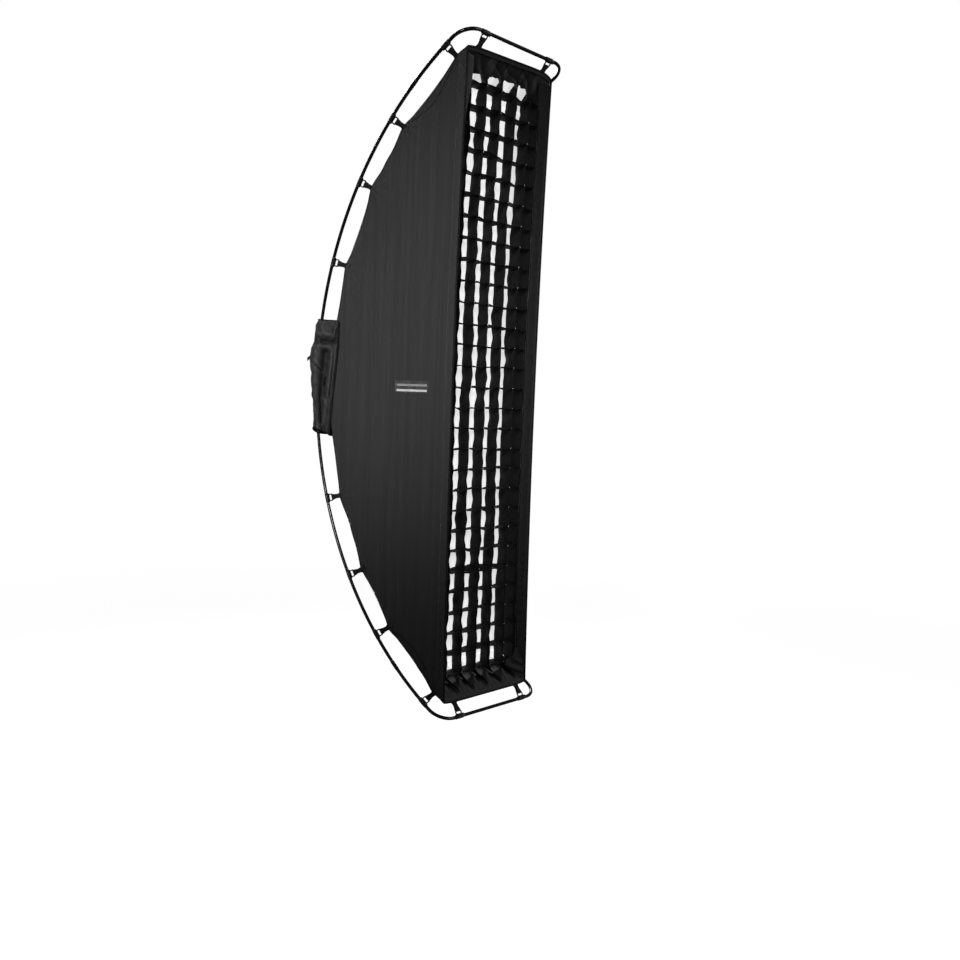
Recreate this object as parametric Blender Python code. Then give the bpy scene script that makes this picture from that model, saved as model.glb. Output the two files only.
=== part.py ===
"""Strip softbox on a bowed outer frame: one Blender object for each piece, in metres, +Z up.

The origin is the centre of the whole object's box. The light leaves towards -Y and the flash head mounts on
the +Y side. A "depth" is a distance behind the plane of the front opening. Every bowed edge is struck from
one centre line, parallel to X, that lies in front of the opening.
"""

import math

import bmesh
import bpy
from mathutils import Matrix, Vector

MM = 0.001
GAP = 0.3 * MM

# Bag of fabric
FRONT_WIDTH = 343 * MM
FRONT_HEIGHT = 1800 * MM
PANEL_THICKNESS = 2 * MM
BOW_CENTRE_DEPTH = -415 * MM
BAG_RADIUS = math.hypot(BOW_CENTRE_DEPTH, FRONT_HEIGHT / 2)
BAG_ANGLE = math.atan2(FRONT_HEIGHT / 2, -BOW_CENTRE_DEPTH)
REAR_HOLE_RADIUS = 80 * MM
HOLE_REACH = 30 * MM
ARC_STEPS = 44

# Bowed frame
BOW_RADIUS = 1017 * MM
BAR_ANGLE = math.radians(67.5)
POLE_X = 206 * MM
CORNER_RADIUS = 55 * MM
POLE_RADIUS = 5 * MM
SPIGOT_RADIUS = 3.2 * MM
SPIGOT_LENGTH = 50 * MM
POLE_JOINT_ANGLE = math.radians(55)
POLE_START = 8 * MM
SIDE_RUN = BOW_RADIUS * BAR_ANGLE - CORNER_RADIUS
CORNER_RUN = CORNER_RADIUS * math.pi / 2
HALF_BAR = POLE_X - CORNER_RADIUS
HALF_LOOP = SIDE_RUN + CORNER_RUN + HALF_BAR
POLE_JOINT = BOW_RADIUS * POLE_JOINT_ANGLE

# Clips that hang the bag in the frame
CLIP_ANGLES = tuple(math.radians(angle) for angle in (21.2, 35.7, 47.7, 62.7))
CLIP_BAR_X = 130 * MM
CLIP_LENGTH = 28 * MM
CLIP_OUTER_RADIUS = 8 * MM
CLIP_MOUTH = math.radians(100)
LOOP_WIDTH = 24 * MM
LOOP_REACH = 22 * MM
LOOP_WALL = 3 * MM
TAB_WIDTH = 18 * MM
TAB_THICKNESS = 1.5 * MM
TAB_INSET = 4 * MM

# Light-shaping pieces
LIP_DEPTH = 36 * MM
LIP_WALL = 1.5 * MM
GRID_FRONT = 40 * MM
GRID_REAR = 82 * MM
GRID_CELL = 59.4 * MM
GRID_WALL = 2 * MM
GRID_HALF_WIDTH = 167 * MM
GRID_COLUMN_WALLS = 5
GRID_ROW_WALLS = 29
DIFFUSER_DEPTH = 108 * MM
SHEET_THICKNESS = 1.5 * MM
BAFFLE_DEPTH = 300 * MM
BAFFLE_HALF_WIDTH = 120 * MM
BAFFLE_HALF_HEIGHT = 450 * MM
BAFFLE_STRAP_Z = 400 * MM
BAFFLE_STRAP_WIDTH = 20 * MM

# Speedring
RING_FRONT = 578.5 * MM
RING_REAR = 592.5 * MM
RING_RADIUS = 98 * MM
RING_SEAT_RADIUS = 76.5 * MM
RING_LIP_RADIUS = 73.5 * MM
RING_SEAT_FRONT = RING_FRONT + 2 * MM
RING_MIDDLE = (RING_FRONT + RING_REAR) / 2
ARM_HALF_HEIGHT = 14 * MM
ARM_REAR = 590.5 * MM
ARM_END_X = 193 * MM
ARM_OVERLAP = 8 * MM
HUB_RADIUS = 10.5 * MM
HUB_HALF_LENGTH = 45 * MM
HUB_LUG_THICKNESS = 6 * MM
SCREW_HEAD_RADIUS = 4 * MM
SCREW_CROWN_RADIUS = 3.2 * MM
SCREW_HEAD_HEIGHT = 3 * MM
SCREW_RADIUS = 2 * MM
HUB_SCREW_X = 176 * MM
HUB_SCREW_LENGTH = 14 * MM
HUB_SOCKET_START = 7.7 * MM
LUG_MARGIN = 10 * MM
RETAINER_RADIUS = 94.5 * MM
RETAINER_THICKNESS = 2 * MM
RETAINER_SCREW_CIRCLE = 87 * MM
RETAINER_SCREW_LENGTH = 12 * MM
RETAINER_SCREW_ANGLES = tuple(math.radians(angle) for angle in (30, 150, 270))
ADAPTER_NECK_RADIUS = 73 * MM
ADAPTER_BORE_RADIUS = 60 * MM
ADAPTER_REAR = 612 * MM
BAYONET_LUG_REACH = 8 * MM
BAYONET_LUG_ROOT = 4 * MM
BAYONET_LUG_HALF_WIDTH = 11 * MM
BAYONET_LUG_THICKNESS = 4 * MM
BAYONET_LUG_SETBACK = 4 * MM
SHOE_RADIUS = 4 * MM
SHOE_TOP = 118 * MM
HOLE_MARGIN = 5 * MM
KNOB_RADIUS = 12 * MM
KNOB_TOP = 126 * MM
KNOB_ROOF = 3 * MM
KNOB_FLARE = 6 * MM
KNOB_BEVEL = 2 * MM
KNOB_FOOT_RADIUS = 9.6 * MM
KNOB_CROWN_RADIUS = 10.2 * MM

# Rear cover around the speedring
COVER_DEPTH = 645.5 * MM
COVER_HALF_WIDTH = 118 * MM
COVER_HALF_HEIGHT = 180 * MM
COLLAR_RADIUS = 81 * MM
COLLAR_REAR = 702 * MM
FLAP_BENDS = ((190, 643), (217, 626), (223.5, 600), (213, 575), (182, 553), (173.6, 536))
CORD_RADIUS = 1.5 * MM
CORD_DEPTH = 688 * MM
CORD_SPREAD = 3 * MM
CORD_LOOP_RADIUS = COLLAR_RADIUS + CORD_RADIUS + GAP
CORD_HALF_ANGLE = math.asin(CORD_SPREAD / CORD_LOOP_RADIUS)
CORD_ROUND = (2 * math.pi - 2 * CORD_HALF_ANGLE) * CORD_LOOP_RADIUS
CORD_TAIL_END = 168 * MM
CORD_TAIL = CORD_TAIL_END - CORD_LOOP_RADIUS * math.cos(CORD_HALF_ANGLE)
CORD_LOCK_TOP = -98 * MM
CORD_LOCK_LENGTH = 18 * MM
CORD_LOCK_RADIUS = 8.5 * MM
CORD_LOCK_BEVEL = 1.5 * MM
BUTTON_RADIUS = 3 * MM
BUTTON_TRAVEL = 2 * MM
BUTTON_BEVEL = 0.8 * MM
LABEL_WIDTH = 146 * MM
LABEL_HEIGHT = 35 * MM
LABEL_DEPTH = 184 * MM
LABEL_Z = -10 * MM
LABEL_THICKNESS = 0.8 * MM

# The front bar's clips and the rear collar are the ends of the object, and the origin is half way between.
FRAME_FRONT = BOW_CENTRE_DEPTH + BOW_RADIUS * math.cos(BAR_ANGLE) - CLIP_OUTER_RADIUS
FRONT_Y = -(FRAME_FRONT + COLLAR_REAR) / 2

X = Vector((1, 0, 0))
Y = Vector((0, 1, 0))
Z = Vector((0, 0, 1))


def clear_scene():
    for existing in list(bpy.data.objects):
        bpy.data.objects.remove(existing, do_unlink=True)


def surface(name, colour, roughness, metallic=0.0):
    material = bpy.data.materials.new(name)
    material.use_nodes = True
    shader = material.node_tree.nodes["Principled BSDF"]
    shader.inputs["Base Color"].default_value = (*colour, 1.0)
    shader.inputs["Roughness"].default_value = roughness
    shader.inputs["Metallic"].default_value = metallic
    return material


def make_materials():
    return {
        "shell_fabric": surface("shell_fabric", (0.035, 0.035, 0.037), 0.75),
        "grid_fabric": surface("grid_fabric", (0.014, 0.014, 0.015), 0.85),
        "diffuser_fabric": surface("diffuser_fabric", (0.86, 0.86, 0.85), 0.9),
        "webbing": surface("webbing", (0.02, 0.02, 0.021), 0.8),
        "pole_coating": surface("pole_coating", (0.012, 0.012, 0.013), 0.25),
        "clip_plastic": surface("clip_plastic", (0.02, 0.02, 0.022), 0.4),
        "ring_metal": surface("ring_metal", (0.07, 0.07, 0.075), 0.45, 1.0),
        "bare_metal": surface("bare_metal", (0.62, 0.62, 0.64), 0.3, 1.0),
        "label_print": surface("label_print", (0.7, 0.7, 0.7), 0.6),
    }


def finish(name, mesh_in_edit, material):
    """Turn a bmesh into a smooth-shaded object with sharp corners."""
    bmesh.ops.recalc_face_normals(mesh_in_edit, faces=mesh_in_edit.faces)
    mesh = bpy.data.meshes.new(name)
    mesh_in_edit.to_mesh(mesh)
    mesh_in_edit.free()
    mesh.shade_smooth()
    mesh.set_sharp_from_angle(angle=math.radians(32))
    mesh.materials.append(material)
    piece = bpy.data.objects.new(name, mesh)
    bpy.context.scene.collection.objects.link(piece)
    return piece


def combine(target, operation, others):
    """Apply a Boolean with each of the others, which are then removed."""
    for other in others:
        modifier = target.modifiers.new(other.name, "BOOLEAN")
        modifier.operation = operation
        modifier.object = other
        modifier.solver = "EXACT"
    bpy.context.view_layer.update()
    evaluated = target.evaluated_get(bpy.context.evaluated_depsgraph_get())
    combined = bpy.data.meshes.new_from_object(evaluated)
    target.modifiers.clear()
    target.data = combined
    for other in others:
        bpy.data.objects.remove(other, do_unlink=True)
    return target


def set_origin(piece, point):
    """Move a piece's origin to a point on its joint's axis, and leave its shape where it is."""
    piece.data.transform(Matrix.Translation(-point))
    piece.location = point


def at(x, depth, z):
    return Vector((x, FRONT_Y + depth, z))


def bow_point(x, radius, angle):
    return at(x, BOW_CENTRE_DEPTH + radius * math.cos(angle), radius * math.sin(angle))


def steps(start, end, count):
    return [start + (end - start) * i / count for i in range(count + 1)]


def arc_points(radius, start, end, count):
    return [(radius * math.cos(turn), radius * math.sin(turn)) for turn in steps(start, end, count)]


def rectangle(low_u, high_u, low_v, high_v):
    return [(low_u, low_v), (high_u, low_v), (high_u, high_v), (low_u, high_v)]


def sweep(name, material, place, stations, sides=12, closed=False):
    """A round solid along a path, with one ring of vertices for each (distance, radius) station.

    Distances may run back along the path, which makes a bore. A closed sweep joins its last ring to its
    first and has no end faces.
    """
    mesh = bmesh.new()
    rings = []
    for distance, radius in stations:
        centre, across, over = place(distance)
        ring = []
        for i in range(sides):
            turn = 2 * math.pi * i / sides
            ring.append(mesh.verts.new(centre + radius * (math.cos(turn) * across + math.sin(turn) * over)))
        rings.append(ring)
    pairs = list(zip(rings, rings[1:]))
    if closed:
        pairs.append((rings[-1], rings[0]))
    else:
        mesh.faces.new(rings[0])
        mesh.faces.new(rings[-1])
    for ring, following in pairs:
        for i in range(sides):
            j = (i + 1) % sides
            mesh.faces.new((ring[i], ring[j], following[j], following[i]))
    return finish(name, mesh, material)


def straight(origin, direction):
    """A straight path for sweep."""
    direction = direction.normalized()
    across = direction.orthogonal().normalized()
    over = direction.cross(across)
    return lambda distance: (origin + distance * direction, across, over)


def prism(name, material, outline, start, end, matrix):
    """An outline in a matrix's first two axes, extruded along its third."""
    mesh = bmesh.new()
    near = [mesh.verts.new(matrix @ Vector((u, v, start))) for u, v in outline]
    far = [mesh.verts.new(matrix @ Vector((u, v, end))) for u, v in outline]
    mesh.faces.new(near)
    mesh.faces.new(far)
    for i in range(len(outline)):
        j = (i + 1) % len(outline)
        mesh.faces.new((near[i], near[j], far[j], far[i]))
    return finish(name, mesh, material)


def axes(origin, first, second, third):
    """The matrix that takes local axes to the three given directions at an origin."""
    matrix = Matrix((first, second, third)).transposed().to_4x4()
    matrix.translation = origin
    return matrix


def block(name, material, low, high):
    outline = rectangle(low[0], high[0], low[1], high[1])
    return prism(name, material, outline, low[2], high[2], axes(at(0, 0, 0), X, Y, Z))


def lattice(name, material, columns, near_rows, far_rows, near, far, wall, matrix):
    """Crossed walls, with openings between them, that run from the near plane to the far one."""
    sides = (-wall / 2, wall / 2)
    across = sorted(line + half for line in columns for half in sides)
    up = [sorted(line + half for line in rows for half in sides) for rows in (near_rows, far_rows)]
    mesh = bmesh.new()
    points = [
        [[mesh.verts.new(matrix @ Vector((u, v, w))) for v in side] for u in across]
        for side, w in zip(up, (near, far))
    ]

    def solid(i, j):
        inside = 0 <= i < len(across) - 1 and 0 <= j < len(up[0]) - 1
        return inside and (i % 2 == 0 or j % 2 == 0)

    def wall_face(i, j, k, m):
        mesh.faces.new((points[0][i][j], points[0][k][m], points[1][k][m], points[1][i][j]))

    for i in range(len(across)):
        for j in range(len(up[0])):
            if solid(i, j):
                for side in points:
                    mesh.faces.new((side[i][j], side[i + 1][j], side[i + 1][j + 1], side[i][j + 1]))
            if j + 1 < len(up[0]) and solid(i, j) != solid(i - 1, j):
                wall_face(i, j, i, j + 1)
            if i + 1 < len(across) and solid(i, j) != solid(i, j - 1):
                wall_face(i, j, i + 1, j)
    return finish(name, mesh, material)


def loop_spot(distance):
    """X and bow angle at a distance along the frame, from the left hub over the bar to the right hub."""
    run = min(distance, 2 * HALF_LOOP - distance)
    if run < SIDE_RUN:
        x, up = -POLE_X, run
    elif run < SIDE_RUN + CORNER_RUN:
        turn = (run - SIDE_RUN) / CORNER_RADIUS
        x = -POLE_X + CORNER_RADIUS * (1 - math.cos(turn))
        up = SIDE_RUN + CORNER_RADIUS * math.sin(turn)
    else:
        x, up = run - HALF_LOOP, SIDE_RUN + CORNER_RADIUS
    return (-x if distance > HALF_LOOP else x), up / BOW_RADIUS


def loop_path(end, side):
    """The frame's path for sweep.

    End is 1 for the path over the top and -1 for the one under the bottom. Side -1 swaps left and right.
    """
    def centre(distance):
        x, angle = loop_spot(distance)
        return bow_point(side * x, BOW_RADIUS, end * angle)

    def place(distance):
        angle = end * loop_spot(distance)[1]
        outward = Vector((0, math.cos(angle), math.sin(angle)))
        along = (centre(distance + MM) - centre(distance - MM)).normalized()
        return centre(distance), outward, along.cross(outward)

    return place


def bored_end(joint, depth):
    """Stations that turn back at a tube's end and make a blind bore for a spigot."""
    return [(joint, SPIGOT_RADIUS + GAP), (depth, SPIGOT_RADIUS + GAP)]


def make_frame(looks):
    half_spigot = SPIGOT_LENGTH / 2 + GAP
    for end, end_name in ((1, "upper"), (-1, "lower")):
        for side, side_name in ((1, "left"), (-1, "right")):
            path = loop_path(end, side)
            stop = POLE_JOINT - GAP / 2
            stations = [(distance, POLE_RADIUS) for distance in steps(POLE_START, stop, 24)]
            stations += bored_end(stop, POLE_JOINT - half_spigot)
            sweep(f"pole_{end_name}_{side_name}", looks["pole_coating"], path, stations)
            pin = [(POLE_JOINT + reach, SPIGOT_RADIUS) for reach in (-SPIGOT_LENGTH / 2, SPIGOT_LENGTH / 2)]
            sweep(f"spigot_{end_name}_{side_name}", looks["bare_metal"], path, pin)
        start = POLE_JOINT + GAP / 2
        bends = steps(start, SIDE_RUN, 5)[:-1] + steps(SIDE_RUN, SIDE_RUN + CORNER_RUN, 7)
        half = [(distance, POLE_RADIUS) for distance in bends]
        other_half = [(2 * HALF_LOOP - distance, radius) for distance, radius in reversed(half)]
        left_bore = bored_end(start, POLE_JOINT + half_spigot)[::-1]
        right_bore = bored_end(2 * HALF_LOOP - start, 2 * HALF_LOOP - POLE_JOINT - half_spigot)
        stations = left_bore + half + other_half + right_bore
        sweep(f"end_tube_{end_name}", looks["pole_coating"], loop_path(end, 1), stations)


def anchor_matrix(hold, target, along):
    """Local X from the frame to the fabric, local Y along the frame."""
    reach = (target - hold).normalized()
    return axes(hold, reach, along, reach.cross(along)), (target - hold).length


def anchors():
    """Each clip's name, the panel it serves, its matrix and its distance to the fabric."""
    for side, side_name in ((-1, "left"), (1, "right")):
        angles = [end * angle for end in (1, -1) for angle in CLIP_ANGLES]
        for number, angle in enumerate(sorted(angles, reverse=True), 1):
            hold = bow_point(side * POLE_X, BOW_RADIUS, angle)
            panel_x = side * (FRONT_WIDTH - PANEL_THICKNESS) / 2
            target = bow_point(panel_x, BAG_RADIUS - TAB_INSET, angle)
            along = Vector((0, -math.sin(angle), math.cos(angle)))
            yield f"clip_{side_name}_{number}", f"side_panel_{side_name}", *anchor_matrix(hold, target, along)
        for end, end_name in ((1, "top"), (-1, "bottom")):
            hold = bow_point(side * CLIP_BAR_X, BOW_RADIUS, end * BAR_ANGLE)
            inset_angle = end * (BAG_ANGLE - TAB_INSET / BAG_RADIUS)
            target = bow_point(side * CLIP_BAR_X, BAG_RADIUS - PANEL_THICKNESS / 2, inset_angle)
            yield f"clip_{end_name}_{side_name}", "back_panel", *anchor_matrix(hold, target, X)


def make_clip_shape(material):
    """A snap-on saddle around the pole with a loop for the webbing."""
    half_wrap = math.pi - CLIP_MOUTH / 2
    bore = POLE_RADIUS + 2 * GAP
    outline = arc_points(CLIP_OUTER_RADIUS, -half_wrap, half_wrap, 12)
    outline += arc_points(bore, half_wrap, -half_wrap, 12)
    saddle_axes = axes(Vector(), X, Z, Y)
    saddle = prism("clip_shape", material, outline, -CLIP_LENGTH / 2, CLIP_LENGTH / 2, saddle_axes)
    columns = [side * (LOOP_WIDTH - LOOP_WALL) / 2 for side in (-1, 1)]
    rows = (CLIP_OUTER_RADIUS, LOOP_REACH - LOOP_WALL / 2)
    half = LOOP_WALL / 2
    loop = lattice("loop", material, columns, rows, rows, -half, half, LOOP_WALL, axes(Vector(), Y, X, Z))
    return combine(saddle, "UNION", [loop])


def make_clips(looks):
    shape = make_clip_shape(looks["clip_plastic"])
    for name, _panel, matrix, _distance in anchors():
        clip = bpy.data.objects.new(name, shape.data)
        bpy.context.scene.collection.objects.link(clip)
        clip.matrix_world = matrix
    bpy.data.objects.remove(shape)


def make_tabs(panel_name, looks):
    """Webbing tabs sewn to a panel, each ending short of its clip's loop."""
    tabs = []
    half = TAB_THICKNESS / 2
    for name, panel, matrix, distance in anchors():
        if panel == panel_name:
            outline = rectangle(LOOP_REACH + GAP, distance, -TAB_WIDTH / 2, TAB_WIDTH / 2)
            tabs.append(prism(f"tab_{name}", looks["shell_fabric"], outline, -half, half, matrix))
    return tabs


def make_bag(looks):
    shell = looks["shell_fabric"]
    arc = [bow_point(0, BAG_RADIUS, angle) for angle in steps(-BAG_ANGLE, BAG_ANGLE, ARC_STEPS)]
    outline = [(point.y, point.z) for point in arc]
    for side, side_name in ((-1, "left"), (1, "right")):
        inner = FRONT_WIDTH / 2 - PANEL_THICKNESS
        panel_axes = axes(Vector((side * inner, 0, 0)), Y, Z, side * X)
        panel = prism(f"side_panel_{side_name}", shell, outline, 0, PANEL_THICKNESS, panel_axes)
        combine(panel, "UNION", make_tabs(panel.name, looks))
    inner_radius = BAG_RADIUS - PANEL_THICKNESS
    inner_arc = [bow_point(0, inner_radius, angle) for angle in steps(BAG_ANGLE, -BAG_ANGLE, ARC_STEPS)]
    strip = outline + [(point.y, point.z) for point in inner_arc]
    half_width = FRONT_WIDTH / 2 - PANEL_THICKNESS - GAP
    back = prism("back_panel", shell, strip, -half_width, half_width, axes(Vector(), Y, Z, X))
    rear = BOW_CENTRE_DEPTH + BAG_RADIUS
    hole_stations = [(rear - HOLE_REACH, REAR_HOLE_RADIUS), (rear + HOLE_REACH, REAR_HOLE_RADIUS)]
    hole = sweep("hole", shell, straight(at(0, 0, 0), Y), hole_stations, 32)
    combine(back, "DIFFERENCE", [hole])
    combine(back, "UNION", make_tabs("back_panel", looks))


def inside_height(depth):
    """Half the clear height between the back panel's two ends, at a depth."""
    inner = BAG_RADIUS - PANEL_THICKNESS - GAP
    return math.sqrt(inner ** 2 - (depth - BOW_CENTRE_DEPTH) ** 2)


def make_light_shapers(looks):
    front = axes(at(0, 0, 0), X, Z, Y)
    lip_x = FRONT_WIDTH / 2 - PANEL_THICKNESS - GAP - LIP_WALL / 2
    lip_rows = [[side * (inside_height(depth) - LIP_WALL) for side in (-1, 1)] for depth in (0, LIP_DEPTH)]
    lattice("front_lip", looks["shell_fabric"], (-lip_x, lip_x), *lip_rows, 0, LIP_DEPTH, LIP_WALL, front)

    border = GRID_HALF_WIDTH - GRID_WALL / 2
    columns = [GRID_CELL * (i - GRID_COLUMN_WALLS // 2) for i in range(GRID_COLUMN_WALLS)]
    rows = [GRID_CELL * (i - GRID_ROW_WALLS // 2) for i in range(GRID_ROW_WALLS)]
    row_sets = []
    for depth in (GRID_FRONT, GRID_REAR):
        end = inside_height(depth) - 2 * LIP_WALL - GRID_WALL
        row_sets.append([-end, *rows, end])
    columns = [-border, *columns, border]
    fabric = looks["grid_fabric"]
    lattice("egg_crate_grid", fabric, columns, *row_sets, GRID_FRONT, GRID_REAR, GRID_WALL, front)

    diffuser_rear = DIFFUSER_DEPTH + SHEET_THICKNESS
    half_height = inside_height(diffuser_rear) - LIP_WALL
    low = (-GRID_HALF_WIDTH, DIFFUSER_DEPTH, -half_height)
    high = (GRID_HALF_WIDTH, diffuser_rear, half_height)
    block("front_diffuser", looks["diffuser_fabric"], low, high)
    make_baffle(looks)


def make_baffle(looks):
    baffle_rear = BAFFLE_DEPTH + SHEET_THICKNESS
    low = (-BAFFLE_HALF_WIDTH, BAFFLE_DEPTH, -BAFFLE_HALF_HEIGHT)
    high = (BAFFLE_HALF_WIDTH, baffle_rear, BAFFLE_HALF_HEIGHT)
    block("inner_baffle", looks["diffuser_fabric"], low, high)
    strap_end = FRONT_WIDTH / 2 - PANEL_THICKNESS - GAP
    for side, side_name in ((-1, "left"), (1, "right")):
        for end, end_name in ((1, "upper"), (-1, "lower")):
            near, far = sorted((side * (BAFFLE_HALF_WIDTH + GAP), side * strap_end))
            z = end * BAFFLE_STRAP_Z
            low = (near, BAFFLE_DEPTH, z - BAFFLE_STRAP_WIDTH / 2)
            high = (far, baffle_rear, z + BAFFLE_STRAP_WIDTH / 2)
            block(f"baffle_strap_{end_name}_{side_name}", looks["webbing"], low, high)


def tube_wall(front, rear, inner, outer):
    return [(front, inner), (front, outer), (rear, outer), (rear, inner)]


def screw_hole(origin, material):
    stations = [(reach, SCREW_RADIUS + GAP) for reach in (-HOLE_REACH, HOLE_REACH)]
    return sweep("screw_hole", material, straight(origin, Y), stations, 10)


def make_screw(name, material, seat, length):
    """A round-headed screw whose head rests on a face and whose shank points forward."""
    shank = [(-length, SCREW_RADIUS), (GAP, SCREW_RADIUS)]
    head = [(GAP, SCREW_HEAD_RADIUS), (SCREW_HEAD_HEIGHT, SCREW_CROWN_RADIUS)]
    sweep(name, material, straight(seat, Y), shank + head, 10)


def make_hub(side, side_name, looks):
    """Two blind pole sockets in line, on a lug that is screwed to the speedring's arm."""
    plastic = looks["clip_plastic"]
    path = loop_path(1, -side)
    socket = POLE_RADIUS + GAP
    lower = [(-HUB_SOCKET_START, socket), (-HUB_HALF_LENGTH, socket)]
    upper = [(HUB_HALF_LENGTH, socket), (HUB_SOCKET_START, socket)]
    outside = [(distance, HUB_RADIUS) for distance in steps(-HUB_HALF_LENGTH, HUB_HALF_LENGTH, 4)]
    hub = sweep(f"hub_{side_name}", plastic, path, lower + outside + upper)
    near, far = sorted((side * (POLE_X - HUB_RADIUS / 2), side * (HUB_SCREW_X - LUG_MARGIN)))
    lug_front = ARM_REAR + GAP
    lug_rear = lug_front + HUB_LUG_THICKNESS
    low = (near, lug_front, -ARM_HALF_HEIGHT)
    high = (far, lug_rear, ARM_HALF_HEIGHT)
    lug = block("lug", plastic, low, high)
    holes = [sweep("socket_space", plastic, path, stations) for stations in (lower[::-1], upper[::-1])]
    holes.append(screw_hole(at(side * HUB_SCREW_X, lug_front, 0), plastic))
    combine(lug, "DIFFERENCE", holes)
    combine(hub, "UNION", [lug])
    seat = at(side * HUB_SCREW_X, lug_rear, 0)
    make_screw(f"hub_screw_{side_name}", looks["bare_metal"], seat, HUB_SCREW_LENGTH)


def retainer_screw_spots():
    return [(RETAINER_SCREW_CIRCLE * math.cos(angle), RETAINER_SCREW_CIRCLE * math.sin(angle))
            for angle in RETAINER_SCREW_ANGLES]


def make_ring(looks):
    """The ring the bag and the frame hang on: a seat for the adapter and an arm on each side."""
    cast = looks["ring_metal"]
    ring_wall = [
        (RING_FRONT, RING_LIP_RADIUS), (RING_FRONT, RING_RADIUS),
        (RING_REAR, RING_RADIUS), (RING_REAR, RING_SEAT_RADIUS),
        (RING_SEAT_FRONT, RING_SEAT_RADIUS), (RING_SEAT_FRONT, RING_LIP_RADIUS),
    ]
    ring = sweep("speedring_body", cast, straight(at(0, 0, 0), Y), ring_wall, 40, closed=True)
    arms = []
    holes = []
    for side, side_name in ((-1, "left"), (1, "right")):
        near, far = sorted((side * (RING_RADIUS - ARM_OVERLAP), side * ARM_END_X))
        low = (near, RING_FRONT, -ARM_HALF_HEIGHT)
        high = (far, ARM_REAR, ARM_HALF_HEIGHT)
        arms.append(block("arm", cast, low, high))
        holes.append(screw_hole(at(side * HUB_SCREW_X, RING_REAR, 0), cast))
        make_hub(side, side_name, looks)
    combine(ring, "UNION", arms)
    for x, z in retainer_screw_spots():
        holes.append(screw_hole(at(x, RING_REAR, z), cast))
    reaches = (RING_LIP_RADIUS - HOLE_MARGIN, RING_RADIUS + HOLE_MARGIN)
    shoe_hole = [(reach, SHOE_RADIUS + GAP) for reach in reaches]
    holes.append(sweep("shoe_hole", cast, straight(at(0, RING_MIDDLE, 0), Z), shoe_hole))
    combine(ring, "DIFFERENCE", holes)


def make_retainer(looks):
    """The screwed ring that keeps the adapter in its seat."""
    bare = looks["bare_metal"]
    retainer_front = RING_REAR + GAP
    retainer_rear = retainer_front + RETAINER_THICKNESS
    retainer_wall = tube_wall(retainer_front, retainer_rear, RING_LIP_RADIUS, RETAINER_RADIUS)
    retainer = sweep("retaining_ring", bare, straight(at(0, 0, 0), Y), retainer_wall, 40, closed=True)
    holes = []
    for number, (x, z) in enumerate(retainer_screw_spots(), 1):
        holes.append(screw_hole(at(x, RING_REAR, z), bare))
        make_screw(f"retainer_screw_{number}", bare, at(x, retainer_rear, z), RETAINER_SCREW_LENGTH)
    combine(retainer, "DIFFERENCE", holes)


def make_adapter(looks):
    """The turning adapter that takes the flash head, with three bayonet lugs in its bore."""
    bare = looks["bare_metal"]
    flange_front = RING_SEAT_FRONT + GAP
    flange_rear = RING_REAR - GAP
    flange_radius = RING_SEAT_RADIUS - GAP
    adapter_wall = [
        (flange_front, ADAPTER_BORE_RADIUS), (flange_front, flange_radius),
        (flange_rear, flange_radius), (flange_rear, ADAPTER_NECK_RADIUS),
        (ADAPTER_REAR, ADAPTER_NECK_RADIUS), (ADAPTER_REAR, ADAPTER_BORE_RADIUS),
    ]
    adapter = sweep("flash_adapter", bare, straight(at(0, 0, 0), Y), adapter_wall, 40, closed=True)
    lug_tip = ADAPTER_BORE_RADIUS - BAYONET_LUG_REACH
    lug_root = ADAPTER_BORE_RADIUS + BAYONET_LUG_ROOT
    outline = rectangle(lug_tip, lug_root, -BAYONET_LUG_HALF_WIDTH, BAYONET_LUG_HALF_WIDTH)
    lug_rear = ADAPTER_REAR - BAYONET_LUG_SETBACK
    lugs = []
    for number in range(3):
        turn = Matrix.Rotation(math.radians(90 + 120 * number), 4, "Y")
        lug_axes = turn @ axes(at(0, 0, 0), X, Z, Y)
        lugs.append(prism("lug", bare, outline, lug_rear - BAYONET_LUG_THICKNESS, lug_rear, lug_axes))
    combine(adapter, "UNION", lugs)


def make_lock(looks):
    """The shoe that bears on the adapter, and the knob that drives it."""
    radial = straight(at(0, RING_MIDDLE, 0), Z)
    shoe_stations = [(RING_SEAT_RADIUS, SHOE_RADIUS), (SHOE_TOP, SHOE_RADIUS)]
    shoe = sweep("lock_shoe", looks["bare_metal"], radial, shoe_stations)
    knob_bottom = RING_RADIUS + 2 * GAP
    knob_stations = [
        (KNOB_TOP - KNOB_ROOF, SHOE_RADIUS + GAP), (knob_bottom, SHOE_RADIUS + GAP),
        (knob_bottom, KNOB_FOOT_RADIUS), (knob_bottom + KNOB_FLARE, KNOB_RADIUS),
        (KNOB_TOP - KNOB_BEVEL, KNOB_RADIUS), (KNOB_TOP, KNOB_CROWN_RADIUS),
    ]
    knob = sweep("lock_knob", looks["clip_plastic"], radial, knob_stations, 24)
    for piece in (shoe, knob):
        set_origin(piece, at(0, RING_MIDDLE, RING_RADIUS))


def flap_outline(side):
    """The flap's section from above, from its sewn edge round the hub and pole to the side panel."""
    first = Vector((COVER_HALF_WIDTH + GAP, COVER_DEPTH + SHEET_THICKNESS))
    outer = [first, *(Vector((x * MM, depth * MM)) for x, depth in FLAP_BENDS)]
    inner = []
    for i, point in enumerate(outer):
        along = (outer[min(i + 1, len(outer) - 1)] - outer[max(i - 1, 0)]).normalized()
        inner.append(point + SHEET_THICKNESS * Vector((along.y, -along.x)))
    inner[0] = first - Vector((0, SHEET_THICKNESS))
    return [(side * x, depth) for x, depth in [*outer, *reversed(inner)]]


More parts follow.
